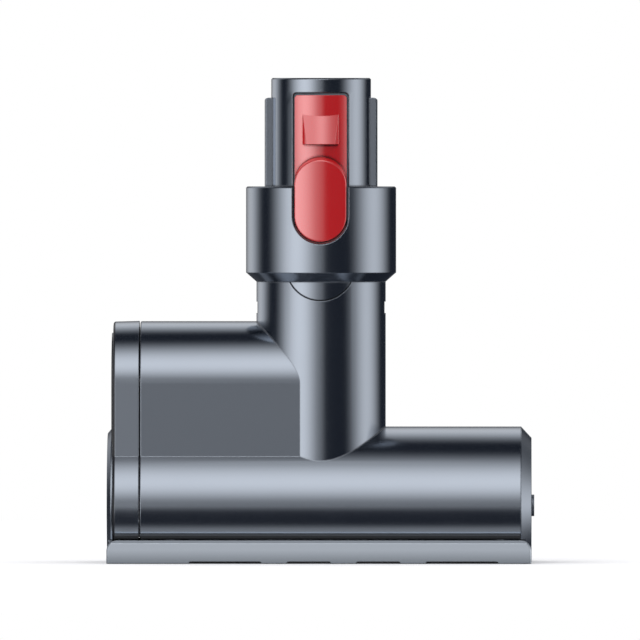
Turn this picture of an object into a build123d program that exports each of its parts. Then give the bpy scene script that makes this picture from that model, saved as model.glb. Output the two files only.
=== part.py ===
from build123d import *

import math
import os

# A motorised brush nozzle for a cordless stick vacuum. A brush tube lies along X, a motor pod
# stands on its left half and a round neck on its middle, with a collar and a male spigot above.
# All sizes are in millimetres. +X is to the right of the front view, -Y towards the viewer and
# +Z up the neck. The origin is on the neck's axis, on the floor that the sole rests on.

# Brush
bristle_tip_r = 20.3
bristle_floor_gap = 0.3
bristle_rows = 4
bristle_width = 1.8
brush_twist_deg = 100.0
brush_core_r = 12.5
brush_bore_r = 8.0
dovetail_depth = 2.9
dovetail_foot = 3.6
brush_plug_length = 8.0
brush_flange = 1.5
brush_flange_inset = 0.4
brush_end_room = 8.0

# Brush tube, and the stations along the head from the left end to the right end
tube_r = 28.8
wall = 2.2
end_disc_depth = 2.1
end_disc_inset = 0.73
end_disc_bevel = 1.67
end_disc_bevel_depth = 1.4
cover_depth = 9.5
cover_seam = 0.4
body_length = 138.8
end_cap_depth = 3.8
end_cap_chamfer = 4.1
end_cap_skirt = 6.0
end_cap_seat = 1.0
coin_boss_height = 1.0

# Side cover
cover_wall = 1.8
cover_edge = 0.9
cover_draft_deg = 1.5
cover_proud = 0.1
panel_proud = 0.55
panel_inset = 4.3

# Pod and belt drive
pod_r = 22.4
belt_pitch = 3.0
driven_teeth = 30
motor_teeth = 11
belt_width = 4.6
belt_back = 1.0
belt_tooth_height = 1.0
belt_tooth_root = 1.8
belt_tooth_tip = 1.2
pulley_pitch_inset = 0.38
pulley_flange = 1.4
pulley_flange_width = 0.7
groove_gap = 0.12
groove_depth_gap = 0.2
drive_shaft_r = 3.0
drive_shaft_reach = 5.0
shaft_end = 0.8
drive_bush_r = 6.0
drive_bush_flange_r = 8.0
drive_bush_flange = 1.0
frame_thickness = 2.4
frame_hub_r = 9.0
frame_hub_depth = 2.0

# Motor
motor_r = 14.0
motor_tube_gap = 1.5
motor_boss_r = 5.0
motor_boss_inset = 0.4
motor_shaft_r = 1.6
motor_poles = 5
motor_screw_offset = 9.4
motor_screw_depth = 2.6
cradle_inset = 2.6
can_wall = 0.8
can_front = 1.2
magnet_thickness = 2.6
magnet_start = 3.5
magnet_end = 5.0
magnet_gap = 9.0
air_gap = 0.5
stack_start = 5.5
stack_end = 8.0
spoke_root_r = 3.4
pole_mouth = 1.6
pole_lip = 1.6
coil_half_width = 3.2
spoke_half_width = 1.0
commutator_r = 3.6
commutator_length = 5.0
commutator_gap = 0.6
bell_inset = 0.4
bell_depth = 3.0
bell_spigot = 1.5
bell_boss_r = 4.0
bell_boss = 1.5
bell_cavity = 0.5
terminal_offset = 8.5
terminal_length = 2.9
terminal_width = 3.0
terminal_thickness = 0.6
board_width = 28.0
board_height = 24.0
board_thickness = 1.6
board_neck_gap = 2.7
chip_width = 8.0
chip_height = 6.0
chip_thickness = 1.6

# Neck, collar and spigot
neck_r = 23.6
neck_height = 81.7
collar_r = 27.4
collar_height = 34.7
collar_chamfer = 3.3
collar_wall = 2.5
collar_foot_step = 0.05
collar_floor = 0.5
tongue_r = 12.4
tongue_centre_rise = 5.8
spigot_r = 18.25
spigot_wall = 2.35
spigot_height = 39.6
spigot_socket_depth = 16.0
spigot_edge = 0.5
spigot_draft = 0.05
nose_margin = 0.5
rail_r = 20.6
side_rail_width = 9.0
side_rail_drop = 7.2
side_rail_round = 1.7
snap_width = 10.0
snap_height = 4.0
snap_drop = 7.4
snap_inset = 0.44
rim_edge = 0.3

# Release lever
lever_width = 19.0
lever_gap = 0.7
lever_top_drop = 6.3
lever_depth = 4.85
lever_corner = 1.2
window_head_room = 1.0
window_corner = 1.5
pad_height = 29.9
pad_bottom_rise = 14.5
pad_flush = 0.2
pad_shoulder = 1.6
pad_edge = 0.6
catch_height = 10.8
catch_top_drop = 13.4
catch_width = 13.1
catch_proud = 2.1
catch_draft = 1.93
catch_root = 1.25
catch_face_r = 20.0
catch_dip = 0.1
pivot_rise = 10.2
pivot_r = 1.2
pivot_proud = 0.95
barrel_wall = 1.0
web_inset = 0.2
web_front = 1.5
ear_gap = 0.4
ear_thickness = 2.1
lever_travel_deg = 3.2
leaf_thickness = 0.4
leaf_width = 6.0
leaf_seat_gap = 0.15
leaf_foot = 5.0
leaf_rise = 9.0
leaf_tip = 2.0
leaf_bend = 1.0

# Plug and wires behind the air duct
chord_wall = 1.4
plug_width = 16.0
plug_depth = 4.6
plug_height = 13.5
plug_skin = 1.2
plug_top_drop = 5.0
plug_recess = 1.0
pin_r = 1.2
pin_offset = 4.0
pin_proud = 3.0
wire_r = 0.8
wire_bend = 6.0
wire_pass_rise = 4.6
wire_spacing = 4.0
wire_slot_width = 4.4

# Sole plate
sole_half_depth = 33.0
sole_height = 8.28
sole_lean = 0.5
sole_bevel_height = 1.05
sole_bevel_depth = 0.9
sole_edge = 0.45
sole_corner_r = 3.8
sole_floor = 2.0
sole_seam = 0.3
throat_margin = 2.0
mouth_ledge = 2.6
mouth_left_margin = 8.9
mouth_right_margin = 5.3
mouth_corner_r = 3.0
notch_depth = 0.65
notch_tab = 8.8
notch_inner = 16.5
notch_end_margin = 6.5

# Skirt under the brush tube
lip_rise = 2.22
skirt_step = 0.5

# Coin lock
lock_r = 10.2
lock_recess = 0.4
lock_depth = 4.5
lock_lug_r = 11.6
lock_lug_width = 8.0
lock_lug_thickness = 2.0
coin_boss_r = 4.07
coin_slot_width = 2.2
coin_slot_length = 14.0
coin_slot_depth = 1.8
tail_bush_r = 5.0
tail_bush_recess = 0.4
tail_end_gap = 0.6

# Fasteners and clearances
screw_r = 1.25
screw_head_r = 2.4
screw_head_depth = 1.5
cover_screw_length = 14.0
sole_screw_reach = 2.72
sole_head_depth = 0.85
screw_tip_room = 0.5
boss_r = 2.6
boss_length = 7.0
boss_overlap = 0.2
sole_boss_gap = 0.8
running_gap = 0.05
fit_gap = 0.1
loose_gap = 0.3
through = 1.0

# Heights
tube_axis_z = bristle_tip_r + bristle_floor_gap
skirt_z = sole_height + sole_seam
lip_z = skirt_z + lip_rise
neck_top_z = tube_axis_z + neck_height
collar_top_z = neck_top_z + collar_height
spigot_top_z = collar_top_z + spigot_height
spigot_foot_z = neck_top_z - spigot_socket_depth

# Stations along X, with the neck in the middle of the whole width
overall_width = end_disc_depth + cover_depth + cover_seam + body_length + end_cap_depth + coin_boss_height
disc_x = -overall_width / 2
cover_x = disc_x + end_disc_depth
seam_x = cover_x + cover_depth
body_x = seam_x + cover_seam
ledge_x = body_x + frame_thickness
cap_x = body_x + body_length
cap_face_x = cap_x + end_cap_depth
boss_face_x = cap_face_x + coin_boss_height
board_x = -neck_r - board_neck_gap - chip_thickness - board_thickness
motor_end_x = board_x - terminal_length - bell_depth
motor_length = motor_end_x - ledge_x

# Pulleys, from the pitch circle of each
driven_pitch_r = driven_teeth * belt_pitch / (2 * math.pi)
motor_pitch_r = motor_teeth * belt_pitch / (2 * math.pi)


def belt_run(centre_distance):
    """Length of an open belt round both pitch circles at this centre distance."""
    lean = math.asin((driven_pitch_r - motor_pitch_r) / centre_distance)
    straight = 2 * centre_distance * math.cos(lean)
    return straight + driven_pitch_r * (math.pi + 2 * lean) + motor_pitch_r * (math.pi - 2 * lean)


def centre_distance_for(length):
    """Centre distance at which a belt of this length runs tight."""
    distance = length / 3
    for _ in range(20):
        distance += (length - belt_run(distance)) / 2
    return distance


belt_teeth = math.ceil(belt_run(tube_r + motor_r + motor_tube_gap) / belt_pitch)
belt_length = belt_teeth * belt_pitch
belt_centres = centre_distance_for(belt_length)
belt_lean = math.asin((driven_pitch_r - motor_pitch_r) / belt_centres)
pod_axis_z = tube_axis_z + belt_centres

# Places that several pieces share
frame_rim = wall / 2
inner_tube_r = tube_r - wall
neck_bore_r = neck_r - wall
spigot_bore_r = spigot_r - spigot_wall
sleeve_r = neck_bore_r - 2 * fit_gap
collar_cavity_r = collar_r - collar_wall
collar_floor_z = neck_top_z + collar_chamfer + collar_floor
sleeve_top_z = collar_floor_z - fit_gap
end_foot_z = sole_height / 2
lip_half_width = math.sqrt(tube_r ** 2 - (lip_z - tube_axis_z) ** 2)
skirt_half_width = lip_half_width - skirt_step
throat_half = skirt_half_width - throat_margin
mouth_half_width = throat_half - mouth_ledge
cover_inner_x = cover_x + cover_wall
belt_mid_x = (cover_inner_x + body_x) / 2
mouth_right_x = cap_face_x - mouth_right_margin
mouth_left_x = ledge_x + mouth_left_margin
mouth_length = mouth_right_x - mouth_left_x
mouth_middle_x = (mouth_left_x + mouth_right_x) / 2
brush_left_x = mouth_left_x + 2 * loose_gap
brush_right_x = cap_x - brush_end_room
hub_end_x = ledge_x + frame_hub_depth
screw_ring_r = inner_tube_r - boss_r + boss_overlap
screw_angles = (35, 145, -15, 195)
sole_screw_x = ledge_x + boss_r + sole_boss_gap
sole_screw_y = throat_half - boss_r - loose_gap - fit_gap
sole_screw_top_z = skirt_z + sole_screw_reach
can_bore_r = motor_r - can_wall

# Lever places
pivot_z = neck_top_z + pivot_rise
lever_barrel_r = pivot_r + barrel_wall
pivot_y = -(spigot_r + pivot_proud)
lever_front_r = spigot_r - loose_gap
lever_back_y = -(spigot_r - lever_depth)
lever_top_z = spigot_top_z - lever_top_drop
pad_bottom_z = neck_top_z + pad_bottom_rise
pad_r = lever_width / 2
pad_front_r = collar_r - pad_flush
window_half = lever_width / 2 + lever_gap
window_top_z = lever_top_z + window_head_room
nose_z = window_top_z + nose_margin
nose_r = spigot_r - spigot_draft
window_bottom_z = pivot_z - lever_barrel_r - lever_gap
lever_sweep = (lever_top_z - pivot_z) * math.tan(math.radians(lever_travel_deg))
pocket_back_y = lever_back_y + lever_sweep + loose_gap
chord_y = pocket_back_y + chord_wall
slot_half = pad_r + lever_gap
slot_centre_z = pad_bottom_z + pad_r

ear_x = lever_width / 2 + ear_gap
shaft_end_x = belt_mid_x - belt_width / 2 - shaft_end

# Plug places
plug_half_width = plug_width / 2
plug_back_y = math.sqrt((spigot_r - plug_skin) ** 2 - plug_half_width ** 2)
plug_front_y = plug_back_y - plug_depth
plug_wall_y = plug_front_y - chord_wall
plug_room_top_z = spigot_top_z - plug_top_drop
plug_top_z = plug_room_top_z - plug_recess
plug_low_z = plug_top_z - plug_height
wire_y = (plug_front_y + plug_back_y) / 2
wire_pass_z = pod_axis_z + wire_pass_rise


def face_of(*points):
    """Flat face bounded by straight edges through the points."""
    return make_face(Polyline(*points, close=True))


def rod_x(radius, x_from, x_to, y=0.0, z=tube_axis_z):
    """Round bar along X between two stations."""
    return extrude(Plane.YZ.offset(x_from) * Pos(y, z) * Circle(radius), x_to - x_from)


def rod_z(radius, z_from, z_to, x=0.0, y=0.0):
    """Round bar along Z between two heights."""
    return extrude(Plane.XY.offset(z_from) * Pos(x, y) * Circle(radius), z_to - z_from)


def rod_y(radius, y_from, y_to, x=0.0, z=0.0):
    """Round bar along Y between two depths."""
    bar = extrude(Plane.XZ * Pos(x, z) * Circle(radius), -(y_to - y_from))
    return Pos(0, y_from, 0) * bar


def block(x_from, x_to, y_from, y_to, z_from, z_to):
    """Rectangular block between six planes."""
    middle = Pos((x_from + x_to) / 2, (y_from + y_to) / 2, (z_from + z_to) / 2)
    return middle * Box(x_to - x_from, y_to - y_from, z_to - z_from)


def turned_z(*points):
    """Solid turned about the neck's axis from (radius, height) points."""
    return revolve(Plane.XZ * face_of(*points), Axis.Z)


def turned_x(*points, z=tube_axis_z):
    """Solid turned about a line along X from (station, radius) points."""
    profile = Plane.XZ * Pos(0, z) * face_of(*points)
    return revolve(profile, Axis((0, 0, z), (1, 0, 0)))


def tube_circle(inset=0.0):
    """Circle of the brush tube, seen along X, drawn inside its skin by the inset."""
    return Pos(0, tube_axis_z) * Circle(tube_r - inset)


def pod_capsule(inset=0.0):
    """Round-topped section of the pod, with its foot on the tube's axis."""
    stem = Pos(0, (tube_axis_z + pod_axis_z) / 2)
    sides = stem * Rectangle(2 * (pod_r - inset), pod_axis_z - tube_axis_z)
    return sides + Pos(0, pod_axis_z) * Circle(pod_r - inset)


def hooded(section, half_width=skirt_half_width):
    """Section cut off at the lip, with the narrower skirt below it."""
    reach = 4 * tube_r
    above = Pos(0, lip_z + reach / 2) * Rectangle(reach, reach)
    skirt = Pos(0, (skirt_z + lip_z) / 2) * Rectangle(2 * half_width, lip_z - skirt_z)
    return section & (above + skirt)


def along_x(section, x_from, x_to):
    """Prism of a section drawn in the YZ plane."""
    return extrude(Plane.YZ.offset(x_from) * section, x_to - x_from)


def screw_places():
    """Places of the cover screws, as (y, z) on their ring."""
    for angle in screw_angles:
        turn = math.radians(angle)
        yield screw_ring_r * math.cos(turn), tube_axis_z + screw_ring_r * math.sin(turn)


def tongue_disc(radius, y_from, y_to):
    """Round bar through the front wall at the collar's tongue."""
    return rod_y(radius, y_from, y_to, z=neck_top_z + tongue_centre_rise)


def snap_window_box(x_from, x_to, side, gap):
    """Block at a snap window in the neck's side, larger all round by the gap."""
    half_width = snap_width / 2 + gap
    high = neck_top_z - snap_drop + gap
    low = high - snap_height - 2 * gap
    near, far = sorted((side * x_from, side * x_to))
    return block(near, far, -half_width, half_width, low, high)


def housing_outside():
    """Tube, pod and neck joined, with a softened left rim."""
    tube = along_x(tube_circle(), body_x, cap_x)
    pod = along_x(pod_capsule(), body_x, 0)
    body = tube + pod
    body = chamfer(body.faces().sort_by(Axis.X)[0].edges(), rim_edge)
    body &= along_x(hooded(Pos(0, pod_axis_z) * Rectangle(2 * tube_r, 4 * tube_r)), body_x, cap_x)
    return body + rod_z(neck_r, tube_axis_z, neck_top_z)


def motor_bay():
    """Room of the motor in the pod, with a cradle wall round the motor's rear end."""
    bay = along_x(pod_capsule(wall), ledge_x, 0)
    bay -= rod_x(tube_r, body_x, through)
    bay -= rod_z(neck_r, 0, pod_axis_z + 2 * pod_r)
    cradle_x = motor_end_x - cradle_inset
    cradle = along_x(pod_capsule(), cradle_x, cradle_x + wall)
    return bay - (cradle - rod_x(motor_r + fit_gap, cradle_x, cradle_x + wall, z=pod_axis_z))


def main_housing():
    """Tube, pod and neck as one moulding, open below and at both ends."""
    chamber = rod_x(inner_tube_r, ledge_x - through, cap_x + through)
    for y, z in screw_places():
        chamber -= rod_x(boss_r, ledge_x, ledge_x + boss_length, y, z)
    for side in (-1, 1):
        chamber -= rod_z(boss_r, 0, tube_axis_z + tube_r / 2, sole_screw_x, side * sole_screw_y)

    solid = housing_outside() - motor_bay() - chamber
    solid -= along_x(tube_circle(frame_rim) + pod_capsule(frame_rim), body_x - through, ledge_x)
    solid -= rod_z(neck_bore_r, tube_axis_z, neck_top_z + through)
    for side in (-1, 1):
        y = side * sole_screw_y
        solid += rod_z(boss_r, sole_floor + loose_gap, lip_z, sole_screw_x, y)
        solid -= rod_z(screw_r, 0, sole_screw_top_z + screw_tip_room, sole_screw_x, y)
        solid -= snap_window_box(neck_bore_r - wall, neck_r + through, side, fit_gap)
    for y, z in screw_places():
        solid -= rod_x(screw_r, ledge_x - through, ledge_x + boss_length - through, y, z)
    solid -= tongue_disc(tongue_r + cover_seam, -neck_r - through, -spigot_bore_r)
    wire_slot = Pos(wire_y, wire_pass_z) * SlotCenterToCenter(wire_spacing, wire_slot_width, rotation=90)
    return solid - along_x(wire_slot, -neck_r - through, -neck_bore_r / 2)


def drafted_slab(section, x_from, x_to, radius):
    """Prism that narrows to the left by the cover's draft, with its left edge rounded."""
    root = Pos(x_to, 0, 0) * (Plane.YZ * section)
    slab = extrude(root, x_from - x_to, taper=cover_draft_deg)
    return fillet(slab.faces().sort_by(Axis.X)[0].edges(), radius)


def panel_outline():
    """Raised panel of the side cover: a stadium inside the pod's outline, above the end disc."""
    radius = pod_r - panel_inset
    low = tube_axis_z + pod_r
    sides = Pos(0, (low + pod_axis_z) / 2) * Rectangle(2 * radius, pod_axis_z - low)
    return Pos(0, pod_axis_z) * Circle(radius) + sides - tube_circle(-loose_gap)


def side_cover():
    """Shallow shell that closes the belt's compartment, with a raised panel on its face."""
    skin = drafted_slab(tube_circle(-cover_proud), cover_x, seam_x, cover_edge)
    skin += drafted_slab(pod_capsule(-cover_proud), cover_x, seam_x, cover_edge)
    skin &= along_x(hooded(Pos(0, pod_axis_z) * Rectangle(4 * tube_r, 4 * tube_r)), cover_x, seam_x)
    room = tube_circle(cover_wall) + pod_capsule(cover_wall)
    hollow = along_x(room, cover_inner_x, seam_x + through)
    shell = skin - hollow + along_x(panel_outline(), cover_x - panel_proud, cover_x)
    for y, z in screw_places():
        shell += rod_x(boss_r, cover_inner_x, body_x, y, z)
        shell -= rod_x(screw_r + fit_gap, cover_x - through, body_x + through, y, z)
        shell -= rod_x(screw_head_r + fit_gap, cover_x - through, cover_x + screw_head_depth, y, z)
    return shell


def end_foot(x_from, x_to):
    """Room of an end piece: above the skirt, and between the sole's end walls below it."""
    foot_half = throat_half - 2 * loose_gap
    room = block(x_from, x_to, -tube_r, tube_r, skirt_z, 2 * tube_r)
    return room + block(x_from, x_to, -foot_half, foot_half, end_foot_z, skirt_z)


def end_disc():
    """Trim disc over the cover's screws, cut off at the skirt."""
    rim_r = tube_r - end_disc_inset
    disc = turned_x(
        (disc_x, 0), (disc_x, rim_r - end_disc_bevel), (disc_x + end_disc_bevel_depth, rim_r),
        (cover_x, rim_r), (cover_x, 0),
    )
    return disc & end_foot(disc_x - through, cover_x + through)


def right_end_cap():
    """Chamfered cap with a skirt in the tube and a bayonet opening for the lock."""
    skirt_r = inner_tube_r - fit_gap
    opening_r = lock_r + loose_gap
    recess_r = lock_lug_r + loose_gap
    inner_x = cap_x - end_cap_skirt
    plate_x = cap_x - end_cap_seat
    cap = turned_x(
        (plate_x, opening_r), (plate_x, recess_r), (inner_x, recess_r), (inner_x, recess_r + wall),
        (plate_x, recess_r + wall), (plate_x, skirt_r - wall), (inner_x, skirt_r - wall), (inner_x, skirt_r),
        (cap_x, skirt_r), (cap_x, tube_r), (cap_face_x, tube_r - end_cap_chamfer), (cap_face_x, opening_r),
    )
    lug_half = lock_lug_width / 2 + loose_gap
    entry = rod_x(recess_r, plate_x - through, cap_face_x + through)
    entry &= block(inner_x, cap_face_x + through, -lug_half, lug_half, 0, 2 * tube_axis_z)
    return (cap - entry) & end_foot(inner_x - through, cap_face_x + through)


def sole_outline():
    """Section of the sole plate, seen along X: fascias that lean back, with a bevel above."""
    shoulder = sole_half_depth - sole_lean
    crest = shoulder - sole_bevel_depth
    bevel_z = sole_height - sole_bevel_height
    return face_of(
        (-sole_half_depth, 0), (sole_half_depth, 0), (shoulder, bevel_z), (crest, sole_height),
        (-crest, sole_height), (-shoulder, bevel_z),
    )


def notch_spans():
    """Spans of the notches in the lower edge, mirrored about the mouth's middle."""
    inner = notch_tab / 2
    outer = inner + notch_inner + notch_tab
    spans = ((inner, inner + notch_inner), (outer, mouth_length / 2 - notch_end_margin))
    for low, high in spans:
        yield mouth_middle_x + low, mouth_middle_x + high
        yield mouth_middle_x - high, mouth_middle_x - low


def is_upright_corner(edge):
    """True for the steep edges where a fascia meets an end of the sole plate."""
    middle = edge.center()
    return abs(middle.Y) > sole_half_depth - sole_lean and 1 < middle.Z < sole_height - sole_corner_r


def sole_blank():
    """Solid blank of the sole plate, with rounded top corners and softened upright ones."""
    length = cap_face_x - disc_x
    middle_x = (cap_face_x + disc_x) / 2
    front = Plane.XZ * Pos(middle_x, 0) * RectangleRounded(length, 2 * sole_height, sole_corner_r)
    blank = along_x(sole_outline(), disc_x, cap_face_x)
    blank &= extrude(front, sole_half_depth + through, both=True)
    return chamfer(blank.edges().filter_by(is_upright_corner), sole_edge)


def sole_notches():
    """Air notches under the front edge."""
    cuts = []
    for low, high in notch_spans():
        edge_cut = face_of(
            (low, -through), (high, -through), (high, 0), (high - notch_depth, notch_depth),
            (low + notch_depth, notch_depth), (low, 0),
        )
        front_y = -sole_half_depth - through
        cuts.append(Pos(0, front_y, 0) * extrude(Plane.XZ * edge_cut, front_y + mouth_half_width - through))
    return cuts


def sole_plate():
    """Shallow tray with the brush mouth in its floor and air notches under its front edge."""
    flange_z = sole_height - wall
    room_half = sole_half_depth - sole_lean - wall
    seat_half = throat_half - loose_gap
    left, right = disc_x + wall, cap_face_x - wall
    room = block(left, right, -room_half, room_half, sole_floor, flange_z)
    throat = block(left, right, -throat_half, throat_half, flange_z, sole_height + through)
    seats = block(
        disc_x - through, cap_face_x + through, -seat_half, seat_half,
        end_foot_z - loose_gap, sole_height + through,
    )
    mouth = Pos(mouth_middle_x, 0) * RectangleRounded(mouth_length, 2 * mouth_half_width, mouth_corner_r)
    plate = sole_blank() - room - throat - seats - extrude(mouth, sole_height) - sole_notches()
    for side in (-1, 1):
        y = side * sole_screw_y
        plate -= rod_z(screw_r + fit_gap, -through, sole_height + through, sole_screw_x, y)
        plate -= rod_z(screw_head_r + fit_gap, -through, sole_floor - sole_head_depth, sole_screw_x, y)
    return plate


def drive_frame():
    """Plate seated in the housing's left mouth, with seats for the motor and the drive bush."""
    rim = frame_rim + fit_gap
    outline = hooded(tube_circle(rim) + pod_capsule(rim), throat_half - fit_gap)
    plate = along_x(outline, body_x, ledge_x)
    plate += rod_x(frame_hub_r, ledge_x, hub_end_x)
    plate -= rod_x(drive_bush_r + fit_gap, body_x - through, hub_end_x + through)
    plate -= rod_x(motor_boss_r + fit_gap, body_x - through, ledge_x + through, z=pod_axis_z)
    for y, z in screw_places():
        plate -= rod_x(screw_r + fit_gap, body_x - through, ledge_x + through, y, z)
    for side in (-1, 1):
        y = side * motor_screw_offset
        plate -= rod_x(screw_r + fit_gap, body_x - through, ledge_x + through, y, pod_axis_z)
    return plate


def drive_bush():
    """Flanged plain bearing in the drive frame's hub."""
    bore_r = drive_shaft_r + running_gap
    end_x = hub_end_x + drive_bush_flange
    return turned_x(
        (body_x, bore_r), (body_x, drive_bush_r), (hub_end_x, drive_bush_r),
        (hub_end_x, drive_bush_flange_r), (end_x, drive_bush_flange_r), (end_x, bore_r),
    )


def screws_along_x(places, head_x, length):
    """Pan head screws that point along +X, as one group of separate solids."""
    group = []
    for y, z in places:
        screw = rod_x(screw_head_r, head_x, head_x + screw_head_depth, y, z)
        screw += rod_x(screw_r - running_gap, head_x + screw_head_depth, head_x + length, y, z)
        group.append(screw)
    return Compound(children=group)


def cover_screws():
    """Four screws through the side cover and the drive frame into the housing's bosses."""
    return screws_along_x(screw_places(), cover_x, cover_screw_length)


def motor_screws():
    """Two screws that hold the motor on the drive frame."""
    places = [(side * motor_screw_offset, pod_axis_z) for side in (-1, 1)]
    return screws_along_x(places, body_x - screw_head_depth, frame_thickness + motor_screw_depth)


def sole_screws():
    """Two screws from below into the housing's bosses."""
    group = []
    head_top_z = sole_floor - sole_head_depth
    for side in (-1, 1):
        y = side * sole_screw_y
        screw = rod_z(screw_head_r, head_top_z - sole_head_depth, head_top_z, sole_screw_x, y)
        screw += rod_z(screw_r - running_gap, head_top_z, sole_screw_top_z, sole_screw_x, y)
        group.append(screw)
    return Compound(children=group)


def belt_track(offset):
    """Area inside an open belt at this distance outside the pitch line."""
    big_r = driven_pitch_r + offset
    small_r = motor_pitch_r + offset
    cos_lean, sin_lean = math.cos(belt_lean), math.sin(belt_lean)
    low = (big_r * cos_lean, tube_axis_z + big_r * sin_lean)
    high = (small_r * cos_lean, pod_axis_z + small_r * sin_lean)
    flanks = face_of(low, high, (-high[0], high[1]), (-low[0], low[1]))
    return Pos(0, tube_axis_z) * Circle(big_r) + Pos(0, pod_axis_z) * Circle(small_r) + flanks


def belt_place(run):
    """Point on the pitch line and its outward angle, measured round from the lowest point."""
    low_arc = driven_pitch_r * (math.pi / 2 + belt_lean)
    straight = belt_centres * math.cos(belt_lean)
    top_arc = motor_pitch_r * (math.pi - 2 * belt_lean)
    mirrored = run > belt_length / 2
    if mirrored:
        run = belt_length - run
    if run < low_arc:
        angle = run / driven_pitch_r - math.pi / 2
        y = driven_pitch_r * math.cos(angle)
        z = tube_axis_z + driven_pitch_r * math.sin(angle)
    elif run < low_arc + straight:
        angle = belt_lean
        along = run - low_arc
        y = driven_pitch_r * math.cos(angle) - along * math.sin(angle)
        z = tube_axis_z + driven_pitch_r * math.sin(angle) + along * math.cos(angle)
    else:
        angle = belt_lean + (run - low_arc - straight) / motor_pitch_r
        y = motor_pitch_r * math.cos(angle)
        z = pod_axis_z + motor_pitch_r * math.sin(angle)
    if mirrored:
        y = -y
        angle = math.pi - angle
    return y, z, math.degrees(angle)


def tooth_shape(root_half, tip_half, height):
    """Trapezoid of a belt tooth that points to -X from the pulley's tip line."""
    start = -pulley_pitch_inset
    return face_of(
        (start + 0.2, -root_half), (start + 0.2, root_half),
        (start - height, tip_half), (start - height, -tip_half),
    )


def drive_belt():
    """Toothed belt round both pulleys."""
    band = belt_track(belt_back - pulley_pitch_inset) - belt_track(running_gap - pulley_pitch_inset)
    tooth = tooth_shape(belt_tooth_root / 2, belt_tooth_tip / 2, belt_tooth_height)
    for number in range(belt_teeth):
        y, z, angle = belt_place(number * belt_pitch)
        band += Pos(y, z) * Rot(0, 0, angle) * tooth
    return along_x(band, belt_mid_x - belt_width / 2, belt_mid_x + belt_width / 2)


def pulley(teeth, pitch_r, axis_z, first_groove_deg, bore_r):
    """Toothed pulley with a flange each side, and a groove at the given angle."""
    half = belt_width / 2 + 2 * fit_gap
    blank = Circle(pitch_r - pulley_pitch_inset)
    root = belt_tooth_root / 2 + groove_gap
    tip = belt_tooth_tip / 2 + groove_gap
    groove = tooth_shape(root, tip, belt_tooth_height + groove_depth_gap)
    for number in range(teeth):
        turn = first_groove_deg + number * 360 / teeth
        blank -= Rot(0, 0, turn) * Pos(pitch_r, 0) * groove
    solid = along_x(Pos(0, axis_z) * blank, belt_mid_x - half, belt_mid_x + half)
    for start in (belt_mid_x - half - pulley_flange_width, belt_mid_x + half):
        solid += rod_x(pitch_r + pulley_flange, start, start + pulley_flange_width, z=axis_z)
    return solid - rod_x(bore_r, belt_mid_x - belt_width, belt_mid_x + belt_width, z=axis_z)


def driven_pulley():
    """Large pulley on the brush's axis, with a groove at its lowest point."""
    return pulley(driven_teeth, driven_pitch_r, tube_axis_z, -90, drive_shaft_r + running_gap)


def motor_pulley():
    """Small pulley on the motor's shaft, set so that its grooves meet the belt's teeth."""
    shift = (belt_teeth / 2) % 1 * 360 / motor_teeth
    return pulley(motor_teeth, motor_pitch_r, pod_axis_z, 90 + shift, motor_shaft_r + running_gap)


def drive_shaft():
    """Steel shaft from the driven pulley to the brush's dog."""
    return rod_x(drive_shaft_r, shaft_end_x, brush_left_x + drive_shaft_reach)


def drive_dog():
    """Plug in the brush core's left end that takes the drive shaft."""
    face_x = brush_left_x - brush_flange
    dog = rod_x(brush_bore_r - running_gap, brush_left_x, brush_left_x + brush_plug_length)
    dog += rod_x(brush_core_r - brush_flange_inset, face_x, brush_left_x)
    return dog - rod_x(drive_shaft_r + running_gap, face_x - through, brush_left_x + drive_shaft_reach)


def brush_tail():
    """Plug in the brush core's right end, with the stub that runs in the tail bush."""
    face_x = brush_right_x + brush_flange
    tail = rod_x(brush_bore_r - running_gap, brush_right_x - brush_plug_length, brush_right_x)
    tail += rod_x(brush_core_r - brush_flange_inset, brush_right_x, face_x)
    return tail + rod_x(drive_shaft_r, face_x, cap_x - tail_end_gap)


def dovetail(gap, reach):
    """Dovetail section that stands on +X and narrows up to the reach, larger by the gap."""
    low = brush_core_r - dovetail_depth - gap
    low_half = dovetail_foot / 2 + gap
    neck_half = bristle_width / 2 + gap
    slope = (low_half - neck_half) / (brush_core_r - low)
    high_half = low_half - slope * (reach - low)
    return face_of((low, -low_half), (reach, -high_half), (reach, high_half), (low, low_half))


def twisted(section):
    """Section drawn about the origin, twisted along the brush."""
    start = Plane.YZ.offset(brush_left_x) * Pos(0, tube_axis_z) * section
    centre = (brush_left_x, 0, tube_axis_z)
    way = (brush_right_x - brush_left_x, 0, 0)
    return Solid.extrude_linear_with_rotation(start.face(), centre, way, brush_twist_deg)


def brush_core():
    """Hollow brush bar with helical dovetail slots."""
    core = rod_x(brush_core_r, brush_left_x, brush_right_x)
    core -= rod_x(brush_bore_r, brush_left_x - through, brush_right_x + through)
    for row in range(bristle_rows):
        slot = dovetail(running_gap, brush_core_r + loose_gap)
        core -= twisted(Rot(0, 0, row * 360 / bristle_rows) * slot)
    return core


def bristle_strip(row):
    """Dovetail rail with its bristles, twisted to follow its slot."""
    half = bristle_width / 2
    low = brush_core_r - loose_gap
    tufts = face_of((low, -half), (bristle_tip_r, -half), (bristle_tip_r, half), (low, half))
    section = (dovetail(0, brush_core_r) + tufts) & Circle(bristle_tip_r)
    return twisted(Rot(0, 0, row * 360 / bristle_rows) * section)


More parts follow.
